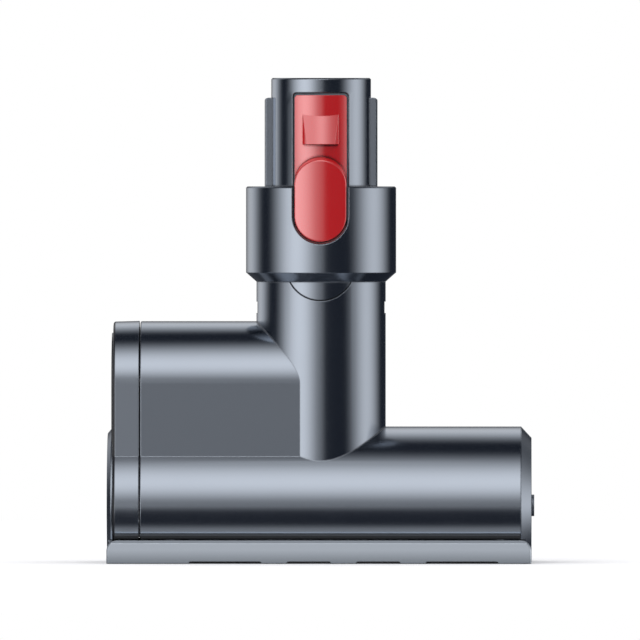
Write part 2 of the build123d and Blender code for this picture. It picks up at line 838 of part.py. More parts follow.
def lock_plug():
    """Quarter-turn plug with a coin slot, bayonet lugs and the seat of the tail bush."""
    face_x = cap_face_x - lock_recess
    inner_x = cap_x - lock_depth
    lug_x = cap_x - end_cap_seat - loose_gap
    plug = rod_x(lock_r, inner_x, face_x) + rod_x(coin_boss_r, face_x, boss_face_x)
    lug_half = lock_lug_width / 2
    lugs = rod_x(lock_lug_r, lug_x - lock_lug_thickness, lug_x)
    lugs &= block(inner_x, cap_face_x, -tube_r, tube_r, tube_axis_z - lug_half, tube_axis_z + lug_half)
    plug += lugs
    plug -= rod_x(tail_bush_r + running_gap, inner_x - through, cap_x - tail_bush_recess)
    slot = block(
        boss_face_x - coin_slot_depth, boss_face_x + through, -coin_slot_width / 2,
        coin_slot_width / 2, tube_axis_z - coin_slot_length / 2, tube_axis_z + coin_slot_length / 2,
    )
    return plug - slot


def tail_bush():
    """Plain bearing in the lock plug."""
    bush = rod_x(tail_bush_r, cap_x - lock_depth, cap_x - tail_bush_recess)
    return bush - rod_x(drive_shaft_r + running_gap, cap_x - lock_depth - through, cap_x)


def motor_can():
    """Drawn steel can with its front boss in the drive frame."""
    can = rod_x(motor_r, ledge_x, motor_end_x, z=pod_axis_z)
    can += rod_x(motor_boss_r, body_x + motor_boss_inset, ledge_x, z=pod_axis_z)
    can -= rod_x(can_bore_r, ledge_x + can_front, motor_end_x + through, z=pod_axis_z)
    can -= rod_x(motor_shaft_r + running_gap, body_x, ledge_x + 2 * can_front, z=pod_axis_z)
    for side in (-1, 1):
        y = side * motor_screw_offset
        can -= rod_x(screw_r, ledge_x - through, ledge_x + 2 * can_front, y, pod_axis_z)
    return can


def motor_magnets():
    """Two curved magnets against the inside of the can."""
    outer_r = can_bore_r - running_gap
    start, end = ledge_x + magnet_start, motor_end_x - magnet_end
    half = magnet_gap / 2
    ring = rod_x(outer_r, start, end, z=pod_axis_z)
    ring -= rod_x(outer_r - magnet_thickness, start, end, z=pod_axis_z)
    return ring - block(start, end, -motor_r, motor_r, pod_axis_z - half, pod_axis_z + half)


def motor_end_bell():
    """Plastic cap of the motor, with two blade terminals."""
    face_x = motor_end_x + bell_depth
    bell = rod_x(motor_r - bell_inset, motor_end_x, face_x, z=pod_axis_z)
    bell += rod_x(can_bore_r - running_gap, motor_end_x - bell_spigot, motor_end_x, z=pod_axis_z)
    bell += rod_x(bell_boss_r, face_x, face_x + bell_boss, z=pod_axis_z)
    bore_r = motor_shaft_r + running_gap
    bell -= rod_x(bore_r, motor_end_x - bell_spigot, face_x + bell_cavity, z=pod_axis_z)
    half_thick, half_wide = terminal_thickness / 2, terminal_width / 2
    for side in (-1, 1):
        y = side * terminal_offset
        bell += block(
            face_x, face_x + terminal_length, y - half_thick, y + half_thick,
            pod_axis_z - half_wide, pod_axis_z + half_wide,
        )
    return bell


def armature_shaft():
    """Motor shaft, from the small pulley to the end bell."""
    return rod_x(motor_shaft_r, shaft_end_x, motor_end_x + bell_depth + bell_cavity / 2, z=pod_axis_z)


def armature_core():
    """Slotted lamination stack with one pole head for each slot gap."""
    head_r = can_bore_r - magnet_thickness - air_gap
    section = Circle(head_r)
    coil_r = head_r - pole_lip
    for number in range(motor_poles):
        coil_room = face_of(
            (spoke_root_r, -spoke_half_width), (spoke_root_r, spoke_half_width),
            (coil_r, coil_half_width), (coil_r, -coil_half_width),
        )
        mouth = Pos(head_r - pole_lip / 2, 0) * Rectangle(2 * pole_lip, pole_mouth)
        section -= Rot(0, 0, number * 360 / motor_poles) * (coil_room + mouth)
    section -= Circle(motor_shaft_r + running_gap)
    return along_x(Pos(0, pod_axis_z) * section, ledge_x + stack_start, motor_end_x - stack_end)


def commutator():
    """Ring of contact segments on the motor's shaft."""
    start = motor_end_x - stack_end + commutator_gap
    end = start + commutator_length
    ring = rod_x(commutator_r, start, end, z=pod_axis_z)
    return ring - rod_x(motor_shaft_r + running_gap, start - through, end + through, z=pod_axis_z)


def control_board():
    """Circuit board behind the motor, on the bell's terminals."""
    chip_x = board_x + board_thickness
    low = pod_axis_z - board_height / 2
    board = block(board_x, chip_x, -board_width / 2, board_width / 2, low, low + board_height)
    chip_half = chip_width / 2
    chip_z = low + chip_height / 2
    chip = block(chip_x, chip_x + chip_thickness, -chip_half, chip_half, chip_z, chip_z + chip_height)
    return board + chip


def is_slot_rim(edge):
    """True for the edges of the lever's slot on the collar's round skin."""
    middle = edge.position_at(0.5)
    on_skin = abs(math.hypot(middle.X, middle.Y) - collar_r) < running_gap / 2
    return on_skin and middle.Y < 0 and abs(middle.X) < slot_half + running_gap and edge.length > slot_half


def collar():
    """Sleeve round the spigot's foot, with the lever's slot and the tongue below it."""
    foot_r = neck_r + collar_foot_step
    bevel_z = neck_top_z + collar_chamfer
    ring = turned_z(
        (sleeve_r + fit_gap, neck_top_z), (foot_r, neck_top_z), (collar_r, bevel_z),
        (collar_r, collar_top_z - spigot_edge), (collar_r - spigot_edge, collar_top_z),
        (spigot_r + fit_gap, collar_top_z), (spigot_r + fit_gap, collar_top_z - collar_wall),
        (collar_cavity_r, collar_top_z - collar_wall), (collar_cavity_r, collar_floor_z),
        (sleeve_r + fit_gap, collar_floor_z),
    )
    front_y = -collar_r - through
    slot = rod_y(slot_half, front_y, lever_back_y, z=slot_centre_z)
    slot += block(-slot_half, slot_half, front_y, lever_back_y, slot_centre_z, collar_top_z + through)
    ring -= slot
    ring = chamfer(ring.edges().filter_by(is_slot_rim), rim_edge)
    tongue = rod_z(neck_r, neck_top_z - tongue_r, neck_top_z + collar_wall)
    tongue -= rod_z(sleeve_r + fit_gap, 0, collar_top_z)
    tongue &= tongue_disc(tongue_r, -collar_r, -spigot_bore_r)
    rail_half = side_rail_width / 2 + fit_gap
    rails = block(
        -rail_r - fit_gap, rail_r + fit_gap, -rail_half, rail_half,
        collar_top_z - 2 * collar_wall, collar_top_z + through,
    )
    return ring + tongue - rails


def side_rails():
    """Two side rails of the spigot, with rounded shoulders."""
    top_z = spigot_top_z - side_rail_drop
    half = rail_r + 2 * fit_gap
    outline = face_of((-half, sleeve_top_z), (half, sleeve_top_z), (half, top_z), (-half, top_z))
    outline = fillet(outline.vertices().sort_by(Axis.Y)[-2:], side_rail_round)
    slab = extrude(Plane.XZ * outline, side_rail_width / 2, both=True)
    ring = rod_z(rail_r, sleeve_top_z, top_z) - rod_z(spigot_bore_r + wall / 2, sleeve_top_z, top_z)
    return slab & ring


def spigot_outside():
    """Outer form of the spigot, with its socket end, side rails and the lever's ears."""
    body = turned_z(
        (0, spigot_foot_z), (sleeve_r, spigot_foot_z), (sleeve_r, sleeve_top_z), (spigot_r, sleeve_top_z),
        (nose_r, nose_z), (nose_r, spigot_top_z - spigot_edge),
        (nose_r - spigot_edge, spigot_top_z), (0, spigot_top_z),
    )
    body += side_rails()
    for side in (-1, 1):
        near, far = sorted((side * ear_x, side * (ear_x + ear_thickness)))
        low, high = pivot_z - lever_barrel_r, pivot_z + lever_barrel_r
        body += block(near, far, pivot_y, -spigot_bore_r / 2, low, high)
        body += rod_x(lever_barrel_r, near, far, pivot_y, pivot_z)
        body += snap_window_box(sleeve_r - wall, neck_r - snap_inset, side, 0)
    return body


def spigot():
    """Male quick-release tube: air duct, pocket behind the lever and channel for the plug."""
    duct = rod_z(spigot_bore_r, spigot_foot_z - through, spigot_top_z + through)
    pocket_roof_z = window_top_z + chord_wall
    duct -= block(-tube_r, tube_r, -tube_r, chord_y, window_bottom_z - chord_wall, pocket_roof_z)
    duct -= block(-tube_r, tube_r, plug_wall_y, tube_r, spigot_foot_z - 2 * through, plug_room_top_z)
    body = spigot_outside() - duct
    window = Pos(0, (window_bottom_z + window_top_z) / 2)
    window *= RectangleRounded(2 * window_half, window_top_z - window_bottom_z, window_corner)
    body -= Pos(0, pocket_back_y, 0) * extrude(Plane.XZ * window, collar_r)
    body -= block(
        -plug_half_width, plug_half_width, plug_front_y, plug_back_y, spigot_foot_z - through, spigot_top_z
    )
    reach = ear_x + ear_thickness + through
    return body - rod_x(pivot_r + fit_gap, -reach, reach, pivot_y, pivot_z)


def catch_wedge():
    """Catch with drafted sides, whose curved face slopes out from its top edge to its foot."""
    top_z = spigot_top_z - catch_top_drop
    foot_z = top_z - catch_height
    middle_z = (top_z + foot_z) / 2
    root = Plane.XZ.offset(lever_front_r - catch_root) * Pos(0, middle_z)
    face = Plane.XZ.offset(spigot_r + catch_proud) * Pos(0, middle_z)
    block_form = loft([
        root * Rectangle(catch_width, catch_height),
        face * Rectangle(catch_width - 2 * catch_draft, catch_height),
    ], ruled=True)
    slope = math.degrees(math.atan2(catch_proud, catch_height))
    skin = Pos(0, -lever_front_r + catch_dip, top_z) * Rot(X=-slope) * Pos(0, catch_face_r, 0)
    return block_form & skin * Cylinder(catch_face_r, 4 * catch_height)


def is_across(edge):
    """True for an edge that doesn't run from front to back."""
    span = edge.bounding_box().size
    return span.Y < span.X + span.Z


def push_pad():
    """Stadium pad that grows a little taller towards its root, with a softened face."""
    root_height = pad_height + pad_shoulder
    root = Plane.XZ.offset(-lever_back_y) * Pos(0, pad_bottom_z + root_height / 2)
    face = Plane.XZ.offset(collar_r + through) * Pos(0, pad_bottom_z + pad_height / 2)
    pad = loft([
        root * SlotOverall(root_height, lever_width, rotation=90),
        face * SlotOverall(pad_height, lever_width, rotation=90),
    ])
    pad &= rod_z(pad_front_r, pad_bottom_z - through, pad_bottom_z + 2 * root_height)
    rim = pad.edges().filter_by(lambda edge: edge.center().Y < -spigot_r and is_across(edge))
    return fillet(rim, pad_edge)


def release_button():
    """Release lever: curved plate with the catch, push pad and the barrel of its pivot."""
    height = lever_top_z - pivot_z
    outline = Pos(0, pivot_z + height / 2) * RectangleRounded(lever_width, height, lever_corner)
    plate = rod_z(lever_front_r, pivot_z, lever_top_z)
    plate &= Pos(0, lever_back_y, 0) * extrude(Plane.XZ * outline, spigot_r)
    web_half = lever_width / 2 - web_inset
    web = block(-web_half, web_half, pivot_y - web_front, lever_back_y, pivot_z, slot_centre_z)
    barrel = rod_x(lever_barrel_r, -web_half, web_half, pivot_y, pivot_z)
    lever = plate + push_pad() + web + barrel + catch_wedge()
    return lever - rod_x(pivot_r + running_gap, -lever_width, lever_width, pivot_y, pivot_z)


def button_pivot_pin():
    """Pin through the spigot's ears and the lever's barrel."""
    half = ear_x + ear_thickness - web_inset
    return rod_x(pivot_r, -half, half, pivot_y, pivot_z)


def button_spring():
    """Leaf that pushes the lever out from the wall behind it."""
    seat = leaf_thickness / 2 + leaf_seat_gap
    back_y = pocket_back_y - seat
    front_y = lever_back_y + seat
    bend_z = slot_centre_z + leaf_foot
    path = FilletPolyline(
        (back_y, slot_centre_z), (back_y, bend_z), (front_y, bend_z + leaf_rise),
        (front_y, bend_z + leaf_rise + leaf_tip), radius=leaf_bend,
    )
    band = make_face(offset(path, leaf_thickness / 2, side=Side.BOTH).edges())
    return along_x(band, -leaf_width / 2, leaf_width / 2)


def connector_block():
    """Insulating block at the top of the channel behind the duct."""
    half = plug_half_width - fit_gap
    body = block(-half, half, plug_front_y + fit_gap, plug_back_y - fit_gap, plug_low_z, plug_top_z)
    for side in (-1, 1):
        body -= rod_z(pin_r, plug_low_z - through, plug_top_z + through, side * pin_offset, wire_y)
    return body


def contact_pins():
    """Two contact pins in the connector block."""
    radius = pin_r - running_gap
    top_z = plug_room_top_z + pin_proud
    pins = [rod_z(radius, plug_low_z, top_z, side * pin_offset, wire_y) for side in (-1, 1)]
    return Compound(children=pins)


def wire(side):
    """Wire from a contact pin, down the channel and through the neck's wall to the board."""
    height = wire_pass_z - side * wire_spacing / 2
    start = (side * pin_offset, wire_y, plug_low_z)
    corner = (side * pin_offset, wire_y, height)
    route = FilletPolyline(start, corner, (board_x + board_thickness, wire_y, height), radius=wire_bend)
    section = Plane(origin=start, z_dir=(0, 0, -1)) * Circle(wire_r)
    return sweep(section, path=route)


parts = {
    "main_housing": main_housing,
    "side_cover": side_cover,
    "end_disc": end_disc,
    "right_end_cap": right_end_cap,
    "sole_plate": sole_plate,
    "drive_frame": drive_frame,
    "drive_bush": drive_bush,
    "cover_screws": cover_screws,
    "motor_screws": motor_screws,
    "sole_screws": sole_screws,
    "drive_belt": drive_belt,
    "driven_pulley": driven_pulley,
    "motor_pulley": motor_pulley,
    "drive_shaft": drive_shaft,
    "drive_dog": drive_dog,
    "brush_tail": brush_tail,
    "brush_core": brush_core,
    "lock_plug": lock_plug,
    "tail_bush": tail_bush,
    "motor_can": motor_can,
    "motor_magnets": motor_magnets,
    "motor_end_bell": motor_end_bell,
    "armature_shaft": armature_shaft,
    "armature_core": armature_core,
    "commutator": commutator,
    "control_board": control_board,
    "collar": collar,
    "spigot": spigot,
    "release_button": release_button,
    "button_pivot_pin": button_pivot_pin,
    "button_spring": button_spring,
    "connector_block": connector_block,
    "contact_pins": contact_pins,
    "wire_positive": lambda: wire(-1),
    "wire_negative": lambda: wire(1),
}
for row in range(bristle_rows):
    parts[f"bristle_strip_{row + 1}"] = lambda row=row: bristle_strip(row)

os.makedirs("parts", exist_ok=True)
for name, make in parts.items():
    solid = make()
    export_step(solid, f"parts/{name}.step")
    print(name, round(solid.volume, 1))
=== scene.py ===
import logging
import math
from dataclasses import dataclass, field, replace
from enum import Enum

import bmesh
import bpy
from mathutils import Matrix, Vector


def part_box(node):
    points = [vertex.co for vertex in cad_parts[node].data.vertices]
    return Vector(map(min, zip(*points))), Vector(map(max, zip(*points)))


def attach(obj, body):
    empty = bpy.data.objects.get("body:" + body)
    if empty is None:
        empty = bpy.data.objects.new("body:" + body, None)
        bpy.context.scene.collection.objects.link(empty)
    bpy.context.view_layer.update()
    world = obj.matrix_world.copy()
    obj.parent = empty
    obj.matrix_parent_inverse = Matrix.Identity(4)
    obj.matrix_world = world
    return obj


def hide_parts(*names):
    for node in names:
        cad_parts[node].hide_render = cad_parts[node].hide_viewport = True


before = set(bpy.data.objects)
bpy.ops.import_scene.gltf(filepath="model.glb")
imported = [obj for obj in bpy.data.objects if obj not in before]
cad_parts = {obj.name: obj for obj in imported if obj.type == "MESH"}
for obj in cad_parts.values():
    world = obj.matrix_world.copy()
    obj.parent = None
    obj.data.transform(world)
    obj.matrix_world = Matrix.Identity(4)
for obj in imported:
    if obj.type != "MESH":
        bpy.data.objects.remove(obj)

# Motorised brush nozzle of a cordless stick vacuum: its finishes, its bristle rows, its screws
# and a white studio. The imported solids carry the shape, in metres, with +Z up and the front at -Y.

log = logging.getLogger("nozzle")

MM = 0.001
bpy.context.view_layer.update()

NODE_SAMPLES = 4
# Grain: octaves of its noise, the share that each finer one keeps, and the values between which
# it goes from none to all.
GRAIN_DETAIL = 2.0
GRAIN_FINENESS = 0.6
GRAIN_SPAN = (0.35, 0.7)
# Clouds of roughness: their width in grains, octaves of their noise, and the values between which
# the roughness goes from its lowest to its highest.
CLOUD_GRAINS = 40
CLOUD_DETAIL = 3.0
CLOUD_SPAN = (0.3, 0.7)
# Openness of a spot from which the spray reaches it, and from which it covers it fully. Below that the
# colour darkens to black: partly unsprayed ABS in gaps, partly painted shade in gaps and concave corners.
SPRAY_AND_SHADE_SPAN = (0.55, 0.92)
# Black deep in a gap, partly bare ABS and partly painted shade, and dark grey on the cover's masked end,
# which also paints shade along its left edge.
GAP_BLACK_AND_SHADE = "#0c0d0f"
MASKED_ABS_AND_EDGE_SHADE = "#23252a"
# Painted shade at the foot of the sole plate: the grey that its colour turns to at the bottom, and how much
# of it shows there.
LOW_SHADE_GREY = "#5d646c"
LOW_SHADE_SHARE = 0.65
# Painted shade down the skirt's lip above the sole: it keeps about half of the colour at its top and fades
# to black this far below it.
LIP_SHADE_FADE_MM = 1.1
LIP_SPRAY_AND_SHADE = 0.5


def linear(code: str) -> tuple[float, float, float, float]:
    """Turn an sRGB hex colour into linear RGBA.

    Args:
        code: Colour as "#rrggbb".

    Returns:
        Linear red, green, blue and an alpha of 1.
    """
    channels = [int(code[place:place + 2], 16) / 255 for place in (1, 3, 5)]
    red, green, blue = (c / 12.92 if c <= 0.04045 else ((c + 0.055) / 1.055) ** 2.4 for c in channels)
    return red, green, blue, 1.0


def add_node(tree: bpy.types.NodeTree, kind: str, settings: dict | None = None,
             links: dict | None = None) -> bpy.types.Node:
    """Add a node to a tree, with its settings and what goes into its sockets.

    Args:
        tree: Tree that takes the node.
        kind: Type name of the node.
        settings: Property names and their values.
        links: Socket names or numbers, and what goes into each: a node, which gives its first
            output in use, a socket, a value, or a list of nodes or sockets.

    Returns:
        The new node.
    """
    made = tree.nodes.new(kind)
    for name, value in (settings or {}).items():
        setattr(made, name, value)
    for place, given in (links or {}).items():
        for source in given if isinstance(given, list) else [given]:
            if isinstance(source, bpy.types.Node):
                source = next(output for output in source.outputs if output.enabled)
            if isinstance(source, bpy.types.NodeSocket):
                tree.links.new(source, made.inputs[place])
            else:
                made.inputs[place].default_value = source
    return made


class Body(Enum):
    """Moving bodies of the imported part."""

    HOUSING = "housing"
    BRUSH = "brush"
    ARMATURE = "armature"
    LOCK = "lock"
    BUTTON = "button"


@dataclass(frozen=True)
class Finish:
    """One real finish: a colour, its gloss, and a grain worked out from a real size.

    Attributes:
        name: Common name of the material and how its surface was made.
        colour: sRGB colour of the surface.
        speck: sRGB colour of the grain, flakes or dust in it.
        grain_mm: Distance between grains in millimetres.
        grain_share: How much of the speck colour shows, from 0 to 1.
        metallic: Share of metal in the shader.
        roughness: Mean roughness.
        roughness_spread: How far the roughness strays over the surface.
        bump_mm: Height of the grain in millimetres.
        edge_mm: Radius of the softened edges in millimetres, or 0 for none.
        shade_gap_mm: Width of the gaps that the spray doesn't reach into in millimetres, or 0 for none; the
            darkening there is partly bare ABS and partly painted shade.
        shade_gap_metallic: Share of metal in the shader in those gaps, where 1 leaves black with no gloss.
        lip_shade_below_mm: Height below which the colour fades to black down the skirt's lip, as painted
            shade, in millimetres, or 0 for none.
        darker_below_mm: Height below which the colour darkens towards the bottom, as painted shade, in
            millimetres, or 0 for none.
        dark_left_of_mm: Place along X left of which the colour is dark grey, bare ABS of a masked end and
            painted shade on the edge beside it, in millimetres, or 0 for none.
        ior: Index of refraction of the dielectric part.
        specular: Specular level of the dielectric part.
        pearl: sRGB tint of the dielectric part's gloss.
    """

    name: str
    colour: str
    speck: str
    grain_mm: float
    grain_share: float = 0.1
    metallic: float = 0.0
    roughness: float = 0.4
    roughness_spread: float = 0.03
    bump_mm: float = 0.004
    edge_mm: float = 0.0
    shade_gap_mm: float = 0.0
    shade_gap_metallic: float = 0.0
    lip_shade_below_mm: float = 0.0
    darker_below_mm: float = 0.0
    dark_left_of_mm: float = 0.0
    ior: float = 1.5
    specular: float = 0.5
    pearl: str = "#ffffff"

    def material(self) -> bpy.types.Material:
        """Build the node material of this finish, or give back the one already made.

        Returns:
            The material.
        """
        made = bpy.data.materials.get(self.name)
        if made:
            return made
        made = bpy.data.materials.new(self.name)
        made.use_nodes = True
        tree = made.node_tree
        tree.nodes.clear()
        place = add_node(tree, "ShaderNodeTexCoord").outputs["Object"]
        grain = add_node(tree, "ShaderNodeTexNoise", links={
            "Vector": place, "Scale": 1 / (self.grain_mm * MM), "Detail": GRAIN_DETAIL,
            "Roughness": GRAIN_FINENESS})
        specks = add_node(tree, "ShaderNodeMapRange", links={
            "Value": grain, "From Min": GRAIN_SPAN[0], "From Max": GRAIN_SPAN[1],
            "To Min": 0.0, "To Max": self.grain_share})
        tint = add_node(tree, "ShaderNodeMix", {"data_type": "RGBA"}, {
            "Factor": specks, "A": linear(self.colour), "B": linear(self.speck)})
        colour, metallic = self.sprayed(tree, place, tint)
        shader = add_node(tree, "ShaderNodeBsdfPrincipled", links={
            "Base Color": colour, "Metallic": metallic, "Roughness": self.gloss(tree, place),
            "Normal": self.relief(tree, grain), "IOR": self.ior, "Specular IOR Level": self.specular,
            "Specular Tint": linear(self.pearl)})
        add_node(tree, "ShaderNodeOutputMaterial", links={"Surface": shader})
        return made

    def gloss(self, tree: bpy.types.NodeTree, place: bpy.types.NodeSocket) -> bpy.types.Node:
        """Add the roughness, which strays in soft clouds over the surface.

        Args:
            tree: Tree of the material.
            place: Socket of the place on the object.

        Returns:
            The node that gives the roughness.
        """
        cloud = add_node(tree, "ShaderNodeTexNoise", links={
            "Vector": place, "Scale": 1 / (CLOUD_GRAINS * self.grain_mm * MM), "Detail": CLOUD_DETAIL})
        return add_node(tree, "ShaderNodeMapRange", links={
            "Value": cloud, "From Min": CLOUD_SPAN[0], "From Max": CLOUD_SPAN[1],
            "To Min": self.roughness - self.roughness_spread,
            "To Max": self.roughness + self.roughness_spread})

    def relief(self, tree: bpy.types.NodeTree, grain: bpy.types.Node) -> bpy.types.Node:
        """Add the softened edges and the bump of the grain.

        Args:
            tree: Tree of the material.
            grain: Node that gives the grain's height.

        Returns:
            The node that gives the normal.
        """
        links = {"Height": grain, "Strength": 1.0, "Distance": self.bump_mm * MM}
        if self.edge_mm:
            links["Normal"] = add_node(tree, "ShaderNodeBevel", {"samples": NODE_SAMPLES},
                                       {"Radius": self.edge_mm * MM})
        return add_node(tree, "ShaderNodeBump", links=links)

    def sprayed(self, tree: bpy.types.NodeTree, place: bpy.types.NodeSocket, colour: bpy.types.Node
                ) -> tuple[bpy.types.Node, bpy.types.Node | float]:
        """Take the spray off where it is masked, and paint shade: darker towards the bottom, black down the
        skirt's lip and in gaps and concave corners.

        Args:
            tree: Tree of the material.
            place: Socket of the place on the object.
            colour: Node that gives the full spray's colour.

        Returns:
            What gives the surface's colour, and what gives its share of metal.
        """
        metallic = self.metallic
        axes = add_node(tree, "ShaderNodeSeparateXYZ", links={"Vector": place}).outputs
        # Painted shade: the colour darkens towards the bottom of the sole plate.
        if self.darker_below_mm:
            low_shade = add_node(tree, "ShaderNodeMapRange", links={
                "Value": axes["Z"], "From Min": 0.0, "From Max": self.darker_below_mm * MM,
                "To Min": LOW_SHADE_SHARE, "To Max": 0.0})
            colour = add_node(tree, "ShaderNodeMix", {"data_type": "RGBA"}, {
                "Factor": low_shade, "A": colour, "B": linear(LOW_SHADE_GREY)})
        # Dark grey left of this place: bare ABS of the cover's masked end, and painted shade for the dark
        # reflection along its left edge.
        if self.dark_left_of_mm:
            inward = add_node(tree, "ShaderNodeMath", {"operation": "GREATER_THAN"}, {
                0: axes["X"], 1: self.dark_left_of_mm * MM})
            colour = add_node(tree, "ShaderNodeMix", {"data_type": "RGBA"}, {
                "Factor": inward, "A": linear(MASKED_ABS_AND_EDGE_SHADE), "B": colour})
            metallic = add_node(tree, "ShaderNodeMath", {"operation": "MULTIPLY"}, {
                0: inward, 1: metallic})
        # Painted shade: occlusion darkens the colour to black in gaps and concave corners, partly standing
        # for unsprayed ABS.
        if self.shade_gap_mm:
            occlusion_for_painted_shade = add_node(tree, "ShaderNodeAmbientOcclusion", {"samples": NODE_SAMPLES}, {
                "Distance": self.shade_gap_mm * MM}).outputs["AO"]
            spray_share_after_shade = add_node(tree, "ShaderNodeMapRange", links={
                "Value": occlusion_for_painted_shade, "From Min": SPRAY_AND_SHADE_SPAN[0], "From Max": SPRAY_AND_SHADE_SPAN[1]})
            # Painted shade: the colour fades to black down the skirt's lip.
            if self.lip_shade_below_mm:
                spray_share_after_shade = add_node(tree, "ShaderNodeMath", {"operation": "MULTIPLY"}, {
                    0: spray_share_after_shade, 1: self.lip_spray_and_shade(tree, axes["Z"])})
            colour = add_node(tree, "ShaderNodeMix", {"data_type": "RGBA"}, {
                "Factor": spray_share_after_shade, "A": linear(GAP_BLACK_AND_SHADE), "B": colour})
            metallic = add_node(tree, "ShaderNodeMapRange", links={
                "Value": spray_share_after_shade, "To Min": self.shade_gap_metallic, "To Max": metallic})
        return colour, metallic

    def lip_spray_and_shade(self, tree: bpy.types.NodeTree, height: bpy.types.NodeSocket) -> bpy.types.Node:
        """Add the share of colour above the skirt's lip, which fades to black down the lip as painted
        shade.

        Args:
            tree: Tree of the material.
            height: Socket of the height on the object.

        Returns:
            The node that gives the share.
        """
        top = self.lip_shade_below_mm * MM
        lip = add_node(tree, "ShaderNodeMapRange", links={
            "Value": height, "From Min": top - LIP_SHADE_FADE_MM * MM, "From Max": top,
            "To Min": 0.0, "To Max": LIP_SPRAY_AND_SHADE})
        above = add_node(tree, "ShaderNodeMath", {"operation": "GREATER_THAN"}, {0: height, 1: top})
        return add_node(tree, "ShaderNodeMath", {"operation": "MAXIMUM"}, {0: lip, 1: above})


# Moulded ABS under a metallic blue-grey lacquer: soft mirror-like bands and a very fine flake.
# The flakes are about 0.05 mm across and are drawn at 0.3 mm, because finer ones don't show.
# The spray doesn't reach into the gaps, where the ABS is black; the same darkening paints shade into
# concave corners and along seams.
LACQUER = Finish("metallic_lacquer_on_abs", "#a3aab4", "#abb2bc", 0.3, 0.2, metallic=1.0,
                 roughness=0.16, roughness_spread=0.006, bump_mm=0.0002, edge_mm=0.45, shade_gap_mm=0.8)
# The same lacquer over a brushed plug: the brushing evens out its reflections.
PLUG_LACQUER = replace(LACQUER, name="satin_metallic_lacquer", roughness=0.5)
# The same lacquer with painted shade on the housing's skirt: it fades to black down the lip above the sole.
SKIRT_SHADED_LACQUER = replace(LACQUER, name="lip_shaded_metallic_lacquer_on_abs", lip_shade_below_mm=10.7)
# The same on the side cover, whose end face and left edge are coloured dark grey round the disc: bare ABS
# of a masked end, and painted shade for the dark reflection along the edge.
COVER_EDGE_SHADED_LACQUER = replace(SKIRT_SHADED_LACQUER, name="edge_and_lip_shaded_metallic_lacquer_on_abs", dark_left_of_mm=-74.9)
# The same lacquer in light grey over the sole plate, duller from its moulded texture. Its colour
# darkens towards the lower edge as painted shade, and its gaps turn black with painted shade.
SOLE_LACQUER = Finish("light_metallic_lacquer_on_abs", "#cbd3dc", "#d3dbe3", 0.3, 0.25, metallic=0.66,
                      roughness=0.22, roughness_spread=0.01, bump_mm=0.0004, edge_mm=0.35, shade_gap_mm=1.2,
                      darker_below_mm=4.8)
# Lever under a red pearl lacquer: mica flakes give a pinkish white sheen, as strong as a half mirror's.
# Its gaps turn black, partly bare ABS and partly painted shade.
PEARL_RED = Finish("pearl_red_lacquer", "#db0308", "#dd1016", 0.3, 0.2, roughness=0.14,
                   roughness_spread=0.006, bump_mm=0.0002, edge_mm=0.3, shade_gap_mm=1.2, shade_gap_metallic=1.0,
                   ior=2.4, specular=1.0, pearl="#ffdcdd")
# Injection moulded black nylon: nearly black, with the soft sheen of a spark-eroded mould.
NYLON = Finish("moulded_black_nylon", "#1b1c1f", "#2a2b2f", 0.5, 0.4, roughness=0.5, bump_mm=0.01,
               edge_mm=0.2)
# Extruded aluminium brush bar, anodised dark grey: fine satin, metallic in the light.
ANODISED = Finish("anodised_dark_aluminium", "#4a4d53", "#5d6168", 0.25, 0.3, metallic=1.0,
                  roughness=0.38, bump_mm=0.002, edge_mm=0.15)
# Drawn nylon filament: dark grey, with a silky streak along each hair.
FILAMENT = Finish("nylon_filament", "#45474d", "#66686f", 0.4, 0.5, roughness=0.38, bump_mm=0.0)
# Neoprene belt: matt black with a dusty bloom.
NEOPRENE = Finish("neoprene_belt", "#17171a", "#2c2c30", 0.35, 0.5, roughness=0.78, bump_mm=0.02)
# Zinc plated steel: bright grey, softened by the plating's fine crystals.
STEEL = Finish("zinc_plated_steel", "#aeb1b6", "#c5c8cc", 0.2, 0.3, metallic=1.0, roughness=0.3,
               bump_mm=0.002, edge_mm=0.08)
# Turned brass and sintered bronze: warm yellow with tool marks too fine to see singly.
BRASS = Finish("turned_brass", "#b08d4a", "#c8a868", 0.2, 0.3, metallic=1.0, roughness=0.32,
               bump_mm=0.002, edge_mm=0.08)
# Sintered ferrite: charcoal grey, dry and faintly gritty.
FERRITE = Finish("sintered_ferrite", "#37383b", "#4b4c50", 0.3, 0.6, metallic=0.2, roughness=0.62,
                 bump_mm=0.01)
# Glass fibre board under green solder resist: glossy, and faintly mottled by the fibres below.
BOARD = Finish("solder_resist_on_glass_fibre", "#14512f", "#1f6b41", 0.8, 0.5, roughness=0.3, bump_mm=0.01)
# PVC insulation of the two wires: even colour, soft gloss.
WIRE_RED = Finish("red_pvc_insulation", "#9c1a1a", "#b43636", 0.6, 0.3, roughness=0.42)
WIRE_BLACK = Finish("black_pvc_insulation", "#141416", "#26262a", 0.6, 0.3, roughness=0.42)


def dress(finish: Finish, *names: str) -> None:
    """Give CAD nodes a finish and report them.

    Args:
        finish: Finish for every face of the nodes.
        names: Node names.
    """
    for name in names:
        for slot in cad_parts[name].material_slots:
            slot.material = finish.material()
        log.info("%s is finished in %s", name, finish.name)


def settle(name: str, mesh: bpy.types.Mesh, body: Body, slot: str, *stands_for: str) -> bpy.types.Object:
    """Put a finished mesh into the scene on the body that carries it.

    Args:
        name: Name of the new object.
        mesh: Mesh in its place in the frame.
        body: Body that the piece rides on.
        slot: Material slot of the record that its finish comes from; not used.
        stands_for: CAD nodes that the piece replaces.

    Returns:
        The new object.
    """
    piece = bpy.data.objects.new(name, mesh)
    bpy.context.scene.collection.objects.link(piece)
    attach(piece, body.value)
    if stands_for:
        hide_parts(*stands_for)
    log.info("%s: %d faces on %s", name, len(mesh.polygons), body.value)
    return piece


